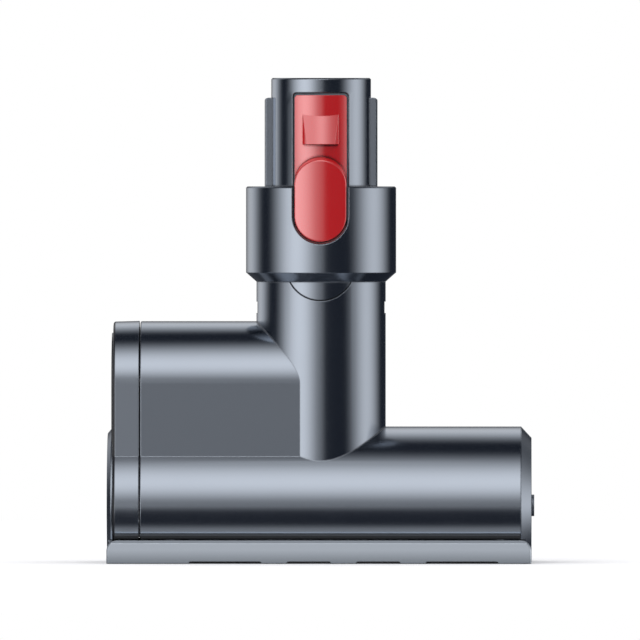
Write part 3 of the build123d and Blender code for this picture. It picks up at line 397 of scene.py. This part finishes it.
def new_growth(name: str, takes: str, sizes: dict[str, float | int], gives: str) -> bpy.types.NodeTree:
    """Start a Geometry Nodes tree with its named inputs and its output.

    Args:
        name: Name of the tree.
        takes: Name of its geometry input.
        sizes: Names of its other inputs with their values, where a whole number makes a count.
        gives: Name of its geometry output.

    Returns:
        The tree, which has no nodes yet.
    """
    tree = bpy.data.node_groups.new(name, "GeometryNodeTree")
    face = tree.interface
    face.new_socket(takes, in_out="INPUT", socket_type="NodeSocketGeometry")
    for label, value in sizes.items():
        kind = "NodeSocketInt" if isinstance(value, int) else "NodeSocketFloat"
        face.new_socket(label, in_out="INPUT", socket_type=kind)
    face.new_socket(gives, in_out="OUTPUT", socket_type="NodeSocketGeometry")
    return tree


def grown(seed: bpy.types.Mesh, tree: bpy.types.NodeTree, sizes: dict[str, float | int]) -> bpy.types.Mesh:
    """Run a Geometry Nodes tree on a mesh and turn the result into a plain mesh.

    Args:
        seed: Mesh that the tree starts from.
        tree: Tree with its geometry input first.
        sizes: Values for the tree's named inputs.

    Returns:
        The finished mesh.
    """
    carrier = bpy.data.objects.new("grower", seed)
    bpy.context.scene.collection.objects.link(carrier)
    modifier = carrier.modifiers.new("growth", "NODES")
    modifier.node_group = tree
    for name, value in sizes.items():
        modifier[tree.interface.items_tree[name].identifier] = value
    result = carrier.evaluated_get(bpy.context.evaluated_depsgraph_get())
    mesh = bpy.data.meshes.new_from_object(result)
    bpy.data.objects.remove(carrier)
    return mesh


@dataclass
class Shell:
    """Housing, covers, collar and spigot under the metallic lacquer.

    Attributes:
        painted: Mouldings that are sprayed all over.
    """

    painted: tuple[str, ...] = ("end_disc", "right_end_cap", "collar", "spigot")

    def build(self) -> None:
        """Dress the painted mouldings."""
        dress(SKIRT_SHADED_LACQUER, "main_housing")
        dress(COVER_EDGE_SHADED_LACQUER, "side_cover")
        dress(PLUG_LACQUER, "lock_plug")
        dress(LACQUER, *self.painted)


@dataclass
class ReleaseLever:
    """Red lever with its pivot pin and leaf spring."""

    def build(self) -> None:
        """Dress the lever and its metal parts."""
        dress(PEARL_RED, "release_button")
        dress(STEEL, "button_pivot_pin", "button_spring")


@dataclass
class ScrewSet:
    """Pan head screws with a cross recess, set at the places of a CAD node's screws.

    Attributes:
        head_mm: Radius of the head.
        depth_mm: Height of the head.
        head_sides: Sides of the head.
        shank_mm: Radius of the shank.
        shank_sides: Sides of the shank.
        recess_mm: Half length of the cross recess.
        recess_share: Width of the recess's arms as a share of its half length.
    """

    head_mm: float = 2.35
    depth_mm: float = 0.85
    head_sides: int = 32
    shank_mm: float = 1.2
    shank_sides: int = 24
    recess_mm: float = 1.35
    recess_share: float = 0.42

    def sizes(self, shank_length: float) -> dict[str, float]:
        """Name the sizes of one screw, in metres.

        Args:
            shank_length: Length of the shank below the head, in metres.

        Returns:
            The values of the tree's inputs.
        """
        return {"Head radius": self.head_mm * MM, "Head height": self.depth_mm * MM,
                "Shank radius": self.shank_mm * MM, "Shank length": shank_length,
                "Recess reach": self.recess_mm * MM}

    def tree(self, sizes: dict[str, float]) -> bpy.types.NodeTree:
        """Build the tree that sets one screw, head down, on every point of a mesh.

        Args:
            sizes: Names and values of its inputs.

        Returns:
            The tree.
        """
        tree = new_growth("screw_set", "Places", sizes, "Screws")
        given = add_node(tree, "NodeGroupInput").outputs
        half_head = add_node(tree, "ShaderNodeMath", {"operation": "MULTIPLY"}, {
            0: given["Head height"], 1: 0.5})
        half_shank = add_node(tree, "ShaderNodeMath", {"operation": "MULTIPLY"}, {
            0: given["Shank length"], 1: 0.5})
        shank_z = add_node(tree, "ShaderNodeMath", {"operation": "ADD"}, {
            0: given["Head height"], 1: half_shank})
        head = self.pillar(tree, self.head_sides, given["Head radius"], given["Head height"], half_head)
        shank = self.pillar(tree, self.shank_sides, given["Shank radius"], given["Shank length"], shank_z)
        length = add_node(tree, "ShaderNodeMath", {"operation": "MULTIPLY"}, {
            0: given["Recess reach"], 1: 2.0})
        width = add_node(tree, "ShaderNodeMath", {"operation": "MULTIPLY"}, {
            0: given["Recess reach"], 1: self.recess_share})
        arms = []
        for x, y in ((length, width), (width, length)):
            size = add_node(tree, "ShaderNodeCombineXYZ", links={"X": x, "Y": y, "Z": given["Head height"]})
            arms.append(add_node(tree, "GeometryNodeMeshCube", links={"Size": size}))
        cut = add_node(tree, "GeometryNodeMeshBoolean", {"operation": "DIFFERENCE"}, {
            "Mesh 1": head, "Mesh 2": arms})
        screw = add_node(tree, "GeometryNodeJoinGeometry", links={0: [shank, cut]})
        points = add_node(tree, "GeometryNodeMeshToPoints", links={"Mesh": given["Places"]})
        placed = add_node(tree, "GeometryNodeInstanceOnPoints", links={"Points": points, "Instance": screw})
        real = add_node(tree, "GeometryNodeRealizeInstances", links={"Geometry": placed})
        dressed = add_node(tree, "GeometryNodeSetMaterial", links={
            "Geometry": real, "Material": STEEL.material()})
        add_node(tree, "NodeGroupOutput", links={"Screws": dressed})
        return tree

    def pillar(self, tree: bpy.types.NodeTree, sides: int, radius: bpy.types.NodeSocket,
               length: bpy.types.NodeSocket, middle: bpy.types.Node) -> bpy.types.Node:
        """Add an upright cylinder to a screw.

        Args:
            tree: Tree of the screw.
            sides: Number of its sides.
            radius: Socket of its radius.
            length: Socket of its length.
            middle: Node that gives the height of its middle.

        Returns:
            The node that gives the cylinder in its place.
        """
        rod = add_node(tree, "GeometryNodeMeshCylinder", links={
            "Vertices": sides, "Radius": radius, "Depth": length})
        shift = add_node(tree, "ShaderNodeCombineXYZ", links={"Z": middle})
        return add_node(tree, "GeometryNodeTransform", links={"Geometry": rod, "Translation": shift})

    def build(self, node: str) -> None:
        """Replace a CAD node of two upright screws by screws with their recesses.

        Args:
            node: Name of the CAD node.
        """
        low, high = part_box(node)
        x = (low.x + high.x) / 2
        head = (high.x - low.x) / 2
        places = bpy.data.meshes.new("screw_places")
        places.from_pydata([(x, low.y + head, low.z), (x, high.y - head, low.z)], [], [])
        sizes = self.sizes(high.z - low.z - self.depth_mm * MM)
        screws = grown(places, self.tree(sizes), sizes)
        settle("sole_screw_set", screws, Body.HOUSING, "steel", node)


@dataclass
class BristleRows:
    """Four helical rows of nylon tufts, each on its dovetail rail.

    Attributes:
        core_mm: Radius of the brush bar.
        tip_mm: Radius of the tufts' tips.
        depth_mm: Depth of the dovetail.
        foot_mm: Width of the dovetail at its foot.
        width_mm: Width of a tuft where it leaves the bar.
        pitch_mm: Distance between tufts along the brush.
        sunk_mm: Depth of the tufts' roots below the bar's surface.
        hairs: Filaments in a tuft.
        hair_mm: Radius of a filament at its root.
        hair_tip_mm: Radius of a filament at its tip.
        hair_sides: Sides of a filament.
        fan: How far a filament leans for each metre that it stands off the tuft's middle.
        seed: Seed of the places of the filaments in their tuft.
        twist_deg: Turn of a row from the left end to the right end.
        rows: Number of rows.
        steps: Steps of a rail from the left end to the right end.
        left: Lowest corner of the bar's box, in metres.
        right: Highest corner of the bar's box, in metres.
    """

    core_mm: float = 12.5
    tip_mm: float = 20.25
    depth_mm: float = 2.9
    foot_mm: float = 3.6
    width_mm: float = 1.8
    pitch_mm: float = 1.9
    sunk_mm: float = 0.3
    hairs: int = 22
    hair_mm: float = 0.11
    hair_tip_mm: float = 0.04
    hair_sides: int = 5
    fan: float = 90.0
    seed: int = 7
    twist_deg: float = 100.0
    rows: int = 4
    steps: int = 96
    left: Vector = field(default_factory=lambda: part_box("brush_core")[0])
    right: Vector = field(default_factory=lambda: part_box("brush_core")[1])

    def axis_z(self) -> float:
        """Height of the brush's axis."""
        return (self.left.z + self.right.z) / 2

    def sizes(self) -> dict[str, float | int]:
        """Name the sizes of a row of tufts, in metres, with its counts.

        Returns:
            The values of the tree's inputs.
        """
        return {"Hair radius": self.hair_mm * MM, "Hair length": (self.tip_mm - self.core_mm) * MM,
                "Tuft radius": self.width_mm / 2 * MM, "Axis height": self.axis_z(),
                "Hairs": self.hairs, "Seed": self.seed}

    def rail(self, phase: float) -> bpy.types.Mesh:
        """Build the twisted dovetail rail of one row.

        Args:
            phase: Angle of the row at its left end, in radians.

        Returns:
            The rail's mesh.
        """
        low = (self.core_mm - self.depth_mm) * MM
        high = self.core_mm * MM
        foot, neck = self.foot_mm / 2 * MM, self.width_mm / 2 * MM
        section = [(low, -foot), (high, -neck), (high, neck), (low, foot)]
        body = bmesh.new()
        rings = []
        for step in range(self.steps + 1):
            share = step / self.steps
            turn = phase + math.radians(self.twist_deg) * share
            x = self.left.x + (self.right.x - self.left.x) * share
            ring = [body.verts.new((x, r * math.cos(turn) - s * math.sin(turn),
                                    self.axis_z() + r * math.sin(turn) + s * math.cos(turn)))
                    for r, s in section]
            rings.append(ring)
        for near, far in zip(rings, rings[1:]):
            for place in range(len(section)):
                after = (place + 1) % len(section)
                body.faces.new((near[place], near[after], far[after], far[place]))
        body.faces.new(rings[0])
        body.faces.new(rings[-1])
        bmesh.ops.recalc_face_normals(body, faces=body.faces)
        mesh = bpy.data.meshes.new("rail")
        body.to_mesh(mesh)
        body.free()
        mesh.materials.append(NYLON.material())
        return mesh

    def tree(self) -> bpy.types.NodeTree:
        """Build the tree that grows one row of tufts on the points of a mesh.

        Returns:
            The tree. Each tuft stands straight out from the brush's axis.
        """
        tree = new_growth("tuft_row", "Roots", self.sizes(), "Tufts")
        given = add_node(tree, "NodeGroupInput").outputs
        points = add_node(tree, "GeometryNodeMeshToPoints", links={"Mesh": given["Roots"]})
        many = add_node(tree, "GeometryNodeDuplicateElements", {"domain": "POINT"}, {
            "Geometry": points, "Amount": given["Hairs"]})
        outward, shift = self.scatter(tree, given)
        fanned = add_node(tree, "ShaderNodeVectorMath", {"operation": "SCALE"}, {
            0: shift, "Scale": self.fan})
        lean = add_node(tree, "ShaderNodeVectorMath", {"operation": "ADD"}, {0: outward, 1: fanned})
        turned = add_node(tree, "FunctionNodeAlignRotationToVector", {"axis": "Z"}, {"Vector": lean})
        moved = add_node(tree, "GeometryNodeSetPosition", links={"Geometry": many, "Offset": shift})
        hair = add_node(tree, "GeometryNodeMeshCone", {"fill_type": "TRIANGLE_FAN"}, {
            "Vertices": self.hair_sides, "Radius Top": self.hair_tip_mm * MM,
            "Radius Bottom": given["Hair radius"], "Depth": given["Hair length"]})
        placed = add_node(tree, "GeometryNodeInstanceOnPoints", links={
            "Points": moved, "Instance": hair, "Rotation": turned})
        real = add_node(tree, "GeometryNodeRealizeInstances", links={"Geometry": placed})
        smooth = add_node(tree, "GeometryNodeSetShadeSmooth", links={"Geometry": real})
        dressed = add_node(tree, "GeometryNodeSetMaterial", links={
            "Geometry": smooth, "Material": FILAMENT.material()})
        add_node(tree, "NodeGroupOutput", links={"Tufts": dressed})
        return tree

    def scatter(self, tree: bpy.types.NodeTree, given: bpy.types.NodeOutputs
                ) -> tuple[bpy.types.Node, bpy.types.Node]:
        """Scatter the filaments of a tuft over its foot.

        Args:
            tree: Tree of the row.
            given: Outputs of the tree's input node.

        Returns:
            The node that gives the way out from the axis, and the node that gives the filament's
            shift from the tuft's middle.
        """
        place = add_node(tree, "GeometryNodeInputPosition")
        axis = add_node(tree, "ShaderNodeCombineXYZ", links={"Z": given["Axis height"]})
        from_axis = add_node(tree, "ShaderNodeVectorMath", {"operation": "SUBTRACT"}, {0: place, 1: axis})
        radial = add_node(tree, "ShaderNodeVectorMath", {"operation": "MULTIPLY"}, {
            0: from_axis, 1: (0, 1, 1)})
        outward = add_node(tree, "ShaderNodeVectorMath", {"operation": "NORMALIZE"}, {0: radial})
        across = add_node(tree, "ShaderNodeVectorMath", {"operation": "CROSS_PRODUCT"}, {
            0: (1, 0, 0), 1: outward})
        random = add_node(tree, "FunctionNodeRandomValue", {"data_type": "FLOAT_VECTOR"}, {
            "Min": (-1, -1, -1), "Max": (1, 1, 1), "Seed": given["Seed"]})
        parts = add_node(tree, "ShaderNodeSeparateXYZ", links={0: random}).outputs
        side = add_node(tree, "ShaderNodeMath", {"operation": "MULTIPLY"}, {
            0: parts["X"], 1: given["Tuft radius"]})
        along = add_node(tree, "ShaderNodeMath", {"operation": "MULTIPLY"}, {
            0: parts["Y"], 1: given["Tuft radius"]})
        side_shift = add_node(tree, "ShaderNodeVectorMath", {"operation": "SCALE"}, {
            0: across, "Scale": side})
        along_shift = add_node(tree, "ShaderNodeCombineXYZ", links={"X": along})
        shift = add_node(tree, "ShaderNodeVectorMath", {"operation": "ADD"}, {
            0: side_shift, 1: along_shift})
        return outward, shift

    def roots(self, phase: float) -> bpy.types.Mesh:
        """Place the roots of a row's tufts along its helix.

        Args:
            phase: Angle of the row at its left end, in radians.

        Returns:
            A mesh of loose points.
        """
        length = self.right.x - self.left.x
        margin = self.width_mm * MM
        radius = (self.core_mm - self.sunk_mm) * MM
        count = int((length - 2 * margin) / (self.pitch_mm * MM))
        places = []
        for number in range(count + 1):
            x = self.left.x + margin + (length - 2 * margin) * number / count
            turn = phase + math.radians(self.twist_deg) * (x - self.left.x) / length
            places.append((x, radius * math.cos(turn), self.axis_z() + radius * math.sin(turn)))
        mesh = bpy.data.meshes.new("roots")
        mesh.from_pydata(places, [], [])
        return mesh

    def build(self) -> None:
        """Build every row and let it stand for its CAD strip."""
        tree = self.tree()
        for row in range(self.rows):
            phase = row * 2 * math.pi / self.rows
            strip = f"bristle_strip_{row + 1}"
            tufts = grown(self.roots(phase), tree, self.sizes())
            settle(f"bristle_tufts_{row + 1}", tufts, Body.BRUSH, "bristle", strip)
            settle(f"bristle_rail_{row + 1}", self.rail(phase), Body.BRUSH, "dark_plastic", strip)


@dataclass
class Brush:
    """Brush bar with its end plugs, shaft and bristles.

    Attributes:
        rows: The bristles on the bar.
    """

    rows: BristleRows = field(default_factory=BristleRows)

    def build(self) -> None:
        """Dress the bar and grow the bristles."""
        dress(ANODISED, "brush_core")
        dress(NYLON, "drive_dog", "brush_tail")
        dress(STEEL, "drive_shaft")
        dress(BRASS, "drive_bush", "tail_bush")
        self.rows.build()


@dataclass
class Drive:
    """Motor, belt drive, board and wires inside the pod."""

    def build(self) -> None:
        """Dress every piece of the drive."""
        dress(STEEL, "motor_can", "armature_shaft", "armature_core", "motor_screws", "cover_screws")
        dress(NYLON, "drive_frame", "driven_pulley", "motor_end_bell", "connector_block")
        dress(BRASS, "motor_pulley", "commutator", "contact_pins")
        dress(FERRITE, "motor_magnets")
        dress(NEOPRENE, "drive_belt")
        dress(BOARD, "control_board")
        dress(WIRE_RED, "wire_positive")
        dress(WIRE_BLACK, "wire_negative")


@dataclass
class Sole:
    """Light grey sole plate with its two screws.

    Attributes:
        screws: The screws in its underside.
    """

    screws: ScrewSet = field(default_factory=ScrewSet)

    def build(self) -> None:
        """Dress the plate and set its screws."""
        dress(SOLE_LACQUER, "sole_plate")
        self.screws.build("sole_screws")


@dataclass
class Camera:
    """Long lens camera at the photograph's angle.

    Attributes:
        distance: Distance from the camera to the object in metres.
        view_width: Width that the picture shows at that distance, in metres.
        azimuth: Degrees that the camera stands to the right of the front.
        elevation: Degrees that the camera stands above the horizon.
        target: Point that the camera looks at, in metres.
        sensor_mm: Width of the sensor.
    """

    distance: float = 9.0
    view_width: float = 0.2336
    azimuth: float = 0.6
    elevation: float = 0.5
    target: tuple[float, float, float] = (-0.0004, 0.0, 0.08825)
    sensor_mm: float = 36.0

    def build(self) -> None:
        """Set the camera and make it the scene's."""
        lens = bpy.data.cameras.new("camera")
        lens.sensor_width = self.sensor_mm
        lens.lens = self.sensor_mm * self.distance / self.view_width
        eye = bpy.data.objects.new("camera", lens)
        turn, lift = math.radians(self.azimuth), math.radians(self.elevation)
        way = Vector((math.sin(turn) * math.cos(lift), -math.cos(turn) * math.cos(lift), math.sin(lift)))
        eye.location = Vector(self.target) + way * self.distance
        eye.rotation_euler = (-way).to_track_quat("-Z", "Y").to_euler()
        bpy.context.scene.collection.objects.link(eye)
        bpy.context.scene.camera = eye


@dataclass(frozen=True)
class StripLight:
    """A long soft light as the gloss sees it.

    Attributes:
        angle: Degrees from the camera's side to the light's middle, up for a beam or right for a stand.
        before: Degrees that it fades out over on its lower or left side.
        after: Degrees that it fades out over on its upper or right side.
        level: Brightness at its middle.
    """

    angle: float
    before: float
    after: float
    level: float


@dataclass
class Room:
    """White room whose strip lights and dark flags show only in the gloss.

    Attributes:
        beams: Lights hung along the object's length, at angles about the X axis.
        stands: Lights stood upright around the object, at angles about the Z axis.
        rounds: Round lights in front of the object and behind it, at angles from its front.
        stand_foot: Upward part of a direction at which the stands have faded.
        stand_shoulder: Upward part of a direction at which they start to fade.
        stand_rest: Share of their light that is left at their foot.
        corner_peak: Most that a direction's corner value reaches, midway between beams and stands.
        front_guard: Small value that keeps the shares defined straight ahead.
        shade: sRGB colour of the dark flags between the lights.
        even_light: sRGB colour of the even light on matt surfaces.
    """

    beams: tuple[StripLight, ...] = (
        StripLight(34.5, 43, 55, 1.42), StripLight(140, 40, 33, 0.95), StripLight(-42, 17, 17, 0.62),
    )
    stands: tuple[StripLight, ...] = (
        StripLight(-38, 53, 51, 1.46), StripLight(89, 48, 48, 1.09), StripLight(-136, 42, 38, 0.84),
    )
    rounds: tuple[StripLight, ...] = (StripLight(0, 9, 9, 0.14), StripLight(180, 16, 16, 0.45))
    stand_foot: float = -0.45
    stand_shoulder: float = -0.02
    stand_rest: float = 0.2
    corner_peak: float = 0.25
    front_guard: float = 0.0001
    shade: str = "#292e37"
    even_light: str = "#e7e7ea"

    def light_group(self) -> bpy.types.NodeTree:
        """Build the node group that gives one strip light's brightness at an angle.

        Returns:
            The group: a soft hump over the angle between a direction and the light.
        """
        tree = bpy.data.node_groups.new("strip_light", "ShaderNodeTree")
        for name in ("Angle", "At", "Before", "After", "Level"):
            tree.interface.new_socket(name, in_out="INPUT", socket_type="NodeSocketFloat")
        tree.interface.new_socket("Light", in_out="OUTPUT", socket_type="NodeSocketFloat")
        given = add_node(tree, "NodeGroupInput").outputs
        gap = add_node(tree, "ShaderNodeMath", {"operation": "SUBTRACT"}, {
            0: given["Angle"], 1: given["At"]})
        away = add_node(tree, "ShaderNodeMath", {"operation": "WRAP"}, {0: gap, 1: 180.0, 2: -180.0})
        beyond = add_node(tree, "ShaderNodeMath", {"operation": "GREATER_THAN"}, {0: away, 1: 0.0})
        reach = add_node(tree, "ShaderNodeMix", links={
            "Factor": beyond, "A": given["Before"], "B": given["After"]})
        off = add_node(tree, "ShaderNodeMath", {"operation": "ABSOLUTE"}, {0: away})
        share = add_node(tree, "ShaderNodeMath", {"operation": "DIVIDE"}, {0: off, 1: reach})
        within = add_node(tree, "ShaderNodeMath", {"operation": "MINIMUM"}, {0: share, 1: 1.0})
        quarter = add_node(tree, "ShaderNodeMath", {"operation": "MULTIPLY"}, {0: within, 1: math.pi / 2})
        slope = add_node(tree, "ShaderNodeMath", {"operation": "COSINE"}, {0: quarter})
        hump = add_node(tree, "ShaderNodeMath", {"operation": "POWER"}, {0: slope, 1: 2.0})
        light = add_node(tree, "ShaderNodeMath", {"operation": "MULTIPLY"}, {0: hump, 1: given["Level"]})
        add_node(tree, "NodeGroupOutput", links={"Light": light})
        return tree

    def lit(self, tree: bpy.types.NodeTree, group: bpy.types.NodeTree, angle: bpy.types.Node,
            lights: tuple[StripLight, ...]) -> bpy.types.Node:
        """Add up the lights of one set in a direction.

        Args:
            tree: Tree of the world.
            group: Node group of one strip light.
            angle: Node that gives the angle of the direction, in degrees.
            lights: The set of lights.

        Returns:
            The node of their sum.
        """
        total = 0.0
        for light in lights:
            one = add_node(tree, "ShaderNodeGroup", {"node_tree": group}, {
                "Angle": angle, "At": light.angle, "Before": light.before, "After": light.after,
                "Level": light.level})
            total = add_node(tree, "ShaderNodeMath", {"operation": "ADD"}, {0: one, 1: total})
        return total

    def angle(self, tree: bpy.types.NodeTree, side: bpy.types.NodeSocket, front: bpy.types.Node
              ) -> bpy.types.Node:
        """Add the angle of a direction from the front, in degrees.

        Args:
            tree: Tree of the world.
            side: Socket of how far the direction goes up or right.
            front: Node that gives how far it goes to the front.

        Returns:
            The node that gives the angle.
        """
        radians = add_node(tree, "ShaderNodeMath", {"operation": "ARCTAN2"}, {0: side, 1: front})
        return add_node(tree, "ShaderNodeMath", {"operation": "DEGREES"}, {0: radians})

    def gloss_light(self, tree: bpy.types.NodeTree) -> bpy.types.Node:
        """Add what the gloss sees in a direction.

        Args:
            tree: Tree of the world.

        Returns:
            The node that gives the brightness of the lights.
        """
        way = add_node(tree, "ShaderNodeTexCoord").outputs["Generated"]
        parts = add_node(tree, "ShaderNodeSeparateXYZ", links={0: way}).outputs
        front = add_node(tree, "ShaderNodeMath", {"operation": "MULTIPLY"}, {0: parts["Y"], 1: -1.0})
        group = self.light_group()
        beams = self.lit(tree, group, self.angle(tree, parts["Z"], front), self.beams)
        stands = self.lit(tree, group, self.angle(tree, parts["X"], front), self.stands)
        stood = add_node(tree, "ShaderNodeMapRange", links={
            "Value": parts["Z"], "From Min": self.stand_foot, "From Max": self.stand_shoulder,
            "To Min": self.stand_rest, "To Max": 1.0})
        stands = add_node(tree, "ShaderNodeMath", {"operation": "MULTIPLY"}, {0: stands, 1: stood})
        radians = add_node(tree, "ShaderNodeMath", {"operation": "ARCCOSINE"}, {0: front})
        off_front = add_node(tree, "ShaderNodeMath", {"operation": "DEGREES"}, {0: radians})
        rounds = self.lit(tree, group, off_front, self.rounds)
        upward = add_node(tree, "ShaderNodeMath", {"operation": "MULTIPLY"}, {0: parts["Z"], 1: parts["Z"]})
        sideways = add_node(tree, "ShaderNodeMath", {"operation": "MULTIPLY"}, {
            0: parts["X"], 1: parts["X"]})
        both = add_node(tree, "ShaderNodeMath", {"operation": "ADD"}, {0: upward, 1: sideways})
        aside = add_node(tree, "ShaderNodeMath", {"operation": "ADD"}, {0: both, 1: self.front_guard})
        share = add_node(tree, "ShaderNodeMath", {"operation": "DIVIDE"}, {0: upward, 1: aside})
        strips = add_node(tree, "ShaderNodeMix", links={"Factor": share, "A": stands, "B": beams})
        # The corners between beams and stands are flagged off.
        product = add_node(tree, "ShaderNodeMath", {"operation": "MULTIPLY"}, {0: upward, 1: sideways})
        corner = add_node(tree, "ShaderNodeMath", {"operation": "DIVIDE"}, {0: product, 1: aside})
        flagged = add_node(tree, "ShaderNodeMath", {"operation": "MULTIPLY"}, {
            0: corner, 1: 1 / self.corner_peak})
        clear = add_node(tree, "ShaderNodeMath", {"operation": "SUBTRACT"}, {0: 1.0, 1: flagged})
        strips = add_node(tree, "ShaderNodeMath", {"operation": "MULTIPLY"}, {0: strips, 1: clear})
        return add_node(tree, "ShaderNodeMath", {"operation": "ADD"}, {0: strips, 1: rounds})

    def build(self) -> None:
        """Build the world: lights and flags for the gloss, even light for matt faces, else white."""
        world = bpy.data.worlds.new("studio")
        bpy.context.scene.world = world
        world.use_nodes = True
        world.cycles.sampling_method = "NONE"
        tree = world.node_tree
        tree.nodes.clear()
        glow = add_node(tree, "ShaderNodeMix", {"data_type": "RGBA", "blend_type": "ADD"}, {
            "Factor": 1.0, "A": linear(self.shade), "B": self.gloss_light(tree)})
        path = add_node(tree, "ShaderNodeLightPath").outputs
        mirrored = add_node(tree, "ShaderNodeMath", {"operation": "MAXIMUM"}, {
            0: path["Is Glossy Ray"], 1: path["Is Transmission Ray"]})
        room = add_node(tree, "ShaderNodeMix", {"data_type": "RGBA"}, {
            "Factor": mirrored, "A": linear(self.even_light), "B": glow})
        seen = add_node(tree, "ShaderNodeMix", {"data_type": "RGBA"}, {
            "Factor": path["Is Camera Ray"], "A": room, "B": linear("#ffffff")})
        back = add_node(tree, "ShaderNodeBackground", links={"Color": seen, "Strength": 1.0})
        add_node(tree, "ShaderNodeOutputWorld", links={"Surface": back})


@dataclass
class Floor:
    """White floor disc that only takes the shadow: light and views from below pass it.

    Attributes:
        radius: Radius of the disc in metres.
        sides: Sides of the disc.
        depth: How far it lies below the object's foot, in metres.
        paper: sRGB colour of the disc.
        lift: Brightness that it adds for the camera, so that it ends in the room's white; occlusion takes
            it away near the object as a painted contact shadow.
        painted_shadow_reach: Distance from the object over which that painted shadow fades, in metres.
    """

    radius: float = 0.9
    sides: int = 96
    depth: float = 0.0002
    paper: str = "#f6f6f6"
    lift: float = 0.27
    painted_shadow_reach: float = 0.05

    def material(self) -> bpy.types.Material:
        """Build the material of white paper that is clear from below, with a painted contact shadow round
        the object.

        Returns:
            The material.
        """
        paper = bpy.data.materials.new("white_paper")
        paper.use_nodes = True
        tree = paper.node_tree
        tree.nodes.clear()
        matt = add_node(tree, "ShaderNodeBsdfDiffuse", links={"Color": linear(self.paper)})
        path = add_node(tree, "ShaderNodeLightPath").outputs
        # Painted shadow: occlusion dims the camera's extra brightness near the object.
        occlusion_for_painted_shade = add_node(tree, "ShaderNodeAmbientOcclusion", {"samples": NODE_SAMPLES}, {
            "Distance": self.painted_shadow_reach}).outputs["AO"]
        seen = add_node(tree, "ShaderNodeMath", {"operation": "MULTIPLY"}, {
            0: path["Is Camera Ray"], 1: self.lift})
        lift = add_node(tree, "ShaderNodeMath", {"operation": "MULTIPLY"}, {0: seen, 1: occlusion_for_painted_shade})
        glow = add_node(tree, "ShaderNodeEmission", links={"Strength": lift})
        both = add_node(tree, "ShaderNodeAddShader", links={0: matt, 1: glow})
        under = add_node(tree, "ShaderNodeNewGeometry").outputs["Backfacing"]
        clear = add_node(tree, "ShaderNodeBsdfTransparent")
        sided = add_node(tree, "ShaderNodeMixShader", links={0: under, 1: both, 2: clear})
        add_node(tree, "ShaderNodeOutputMaterial", links={"Surface": sided})
        return paper

    def build(self) -> None:
        """Lay the disc under the object."""
        disc = bmesh.new()
        bmesh.ops.create_circle(disc, cap_ends=True, segments=self.sides, radius=self.radius)
        mesh = bpy.data.meshes.new("floor")
        disc.to_mesh(mesh)
        disc.free()
        mesh.materials.append(self.material())
        floor = bpy.data.objects.new("floor", mesh)
        floor.location.z = -self.depth
        bpy.context.scene.collection.objects.link(floor)
        floor.visible_glossy = floor.visible_diffuse = floor.visible_shadow = False


@dataclass
class Lamp:
    """Large soft lamp to the upper left of the front, which the gloss doesn't see.

    Attributes:
        side: Side of its square face in metres.
        watts: Its power.
        place: Where it hangs, in metres.
        target: Point that it shines at, in metres.
    """

    side: float = 1.2
    watts: float = 5.0
    place: tuple[float, float, float] = (-0.8, -1.1, 1.3)
    target: tuple[float, float, float] = (0.0, 0.0, 0.06)

    def build(self) -> None:
        """Hang the lamp."""
        light = bpy.data.lights.new("key", "AREA")
        light.shape = "SQUARE"
        light.size = self.side
        light.energy = self.watts
        key = bpy.data.objects.new("key", light)
        key.location = self.place
        key.rotation_euler = (Vector(self.target) - key.location).to_track_quat("-Z", "Y").to_euler()
        key.visible_glossy = False
        bpy.context.scene.collection.objects.link(key)


@dataclass
class Studio:
    """White studio round the object.

    Attributes:
        camera: The camera.
        room: The world round it.
        floor: The disc under it.
        lamp: The lamp over it.
    """

    camera: Camera = field(default_factory=Camera)
    room: Room = field(default_factory=Room)
    floor: Floor = field(default_factory=Floor)
    lamp: Lamp = field(default_factory=Lamp)

    def build(self) -> None:
        """Build the whole studio and report it."""
        for piece in (self.camera, self.room, self.floor, self.lamp):
            piece.build()
        bpy.context.scene.view_settings.view_transform = "Standard"
        log.info("studio with %d strip lights", len(self.room.beams + self.room.stands))


def main() -> None:
    """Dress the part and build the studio."""
    logging.basicConfig(level=logging.INFO, format="%(name)s: %(message)s")
    Studio().build()
    for assembly in (Shell(), ReleaseLever(), Sole(), Brush(), Drive()):
        assembly.build()


if __name__ == "__main__":
    main()
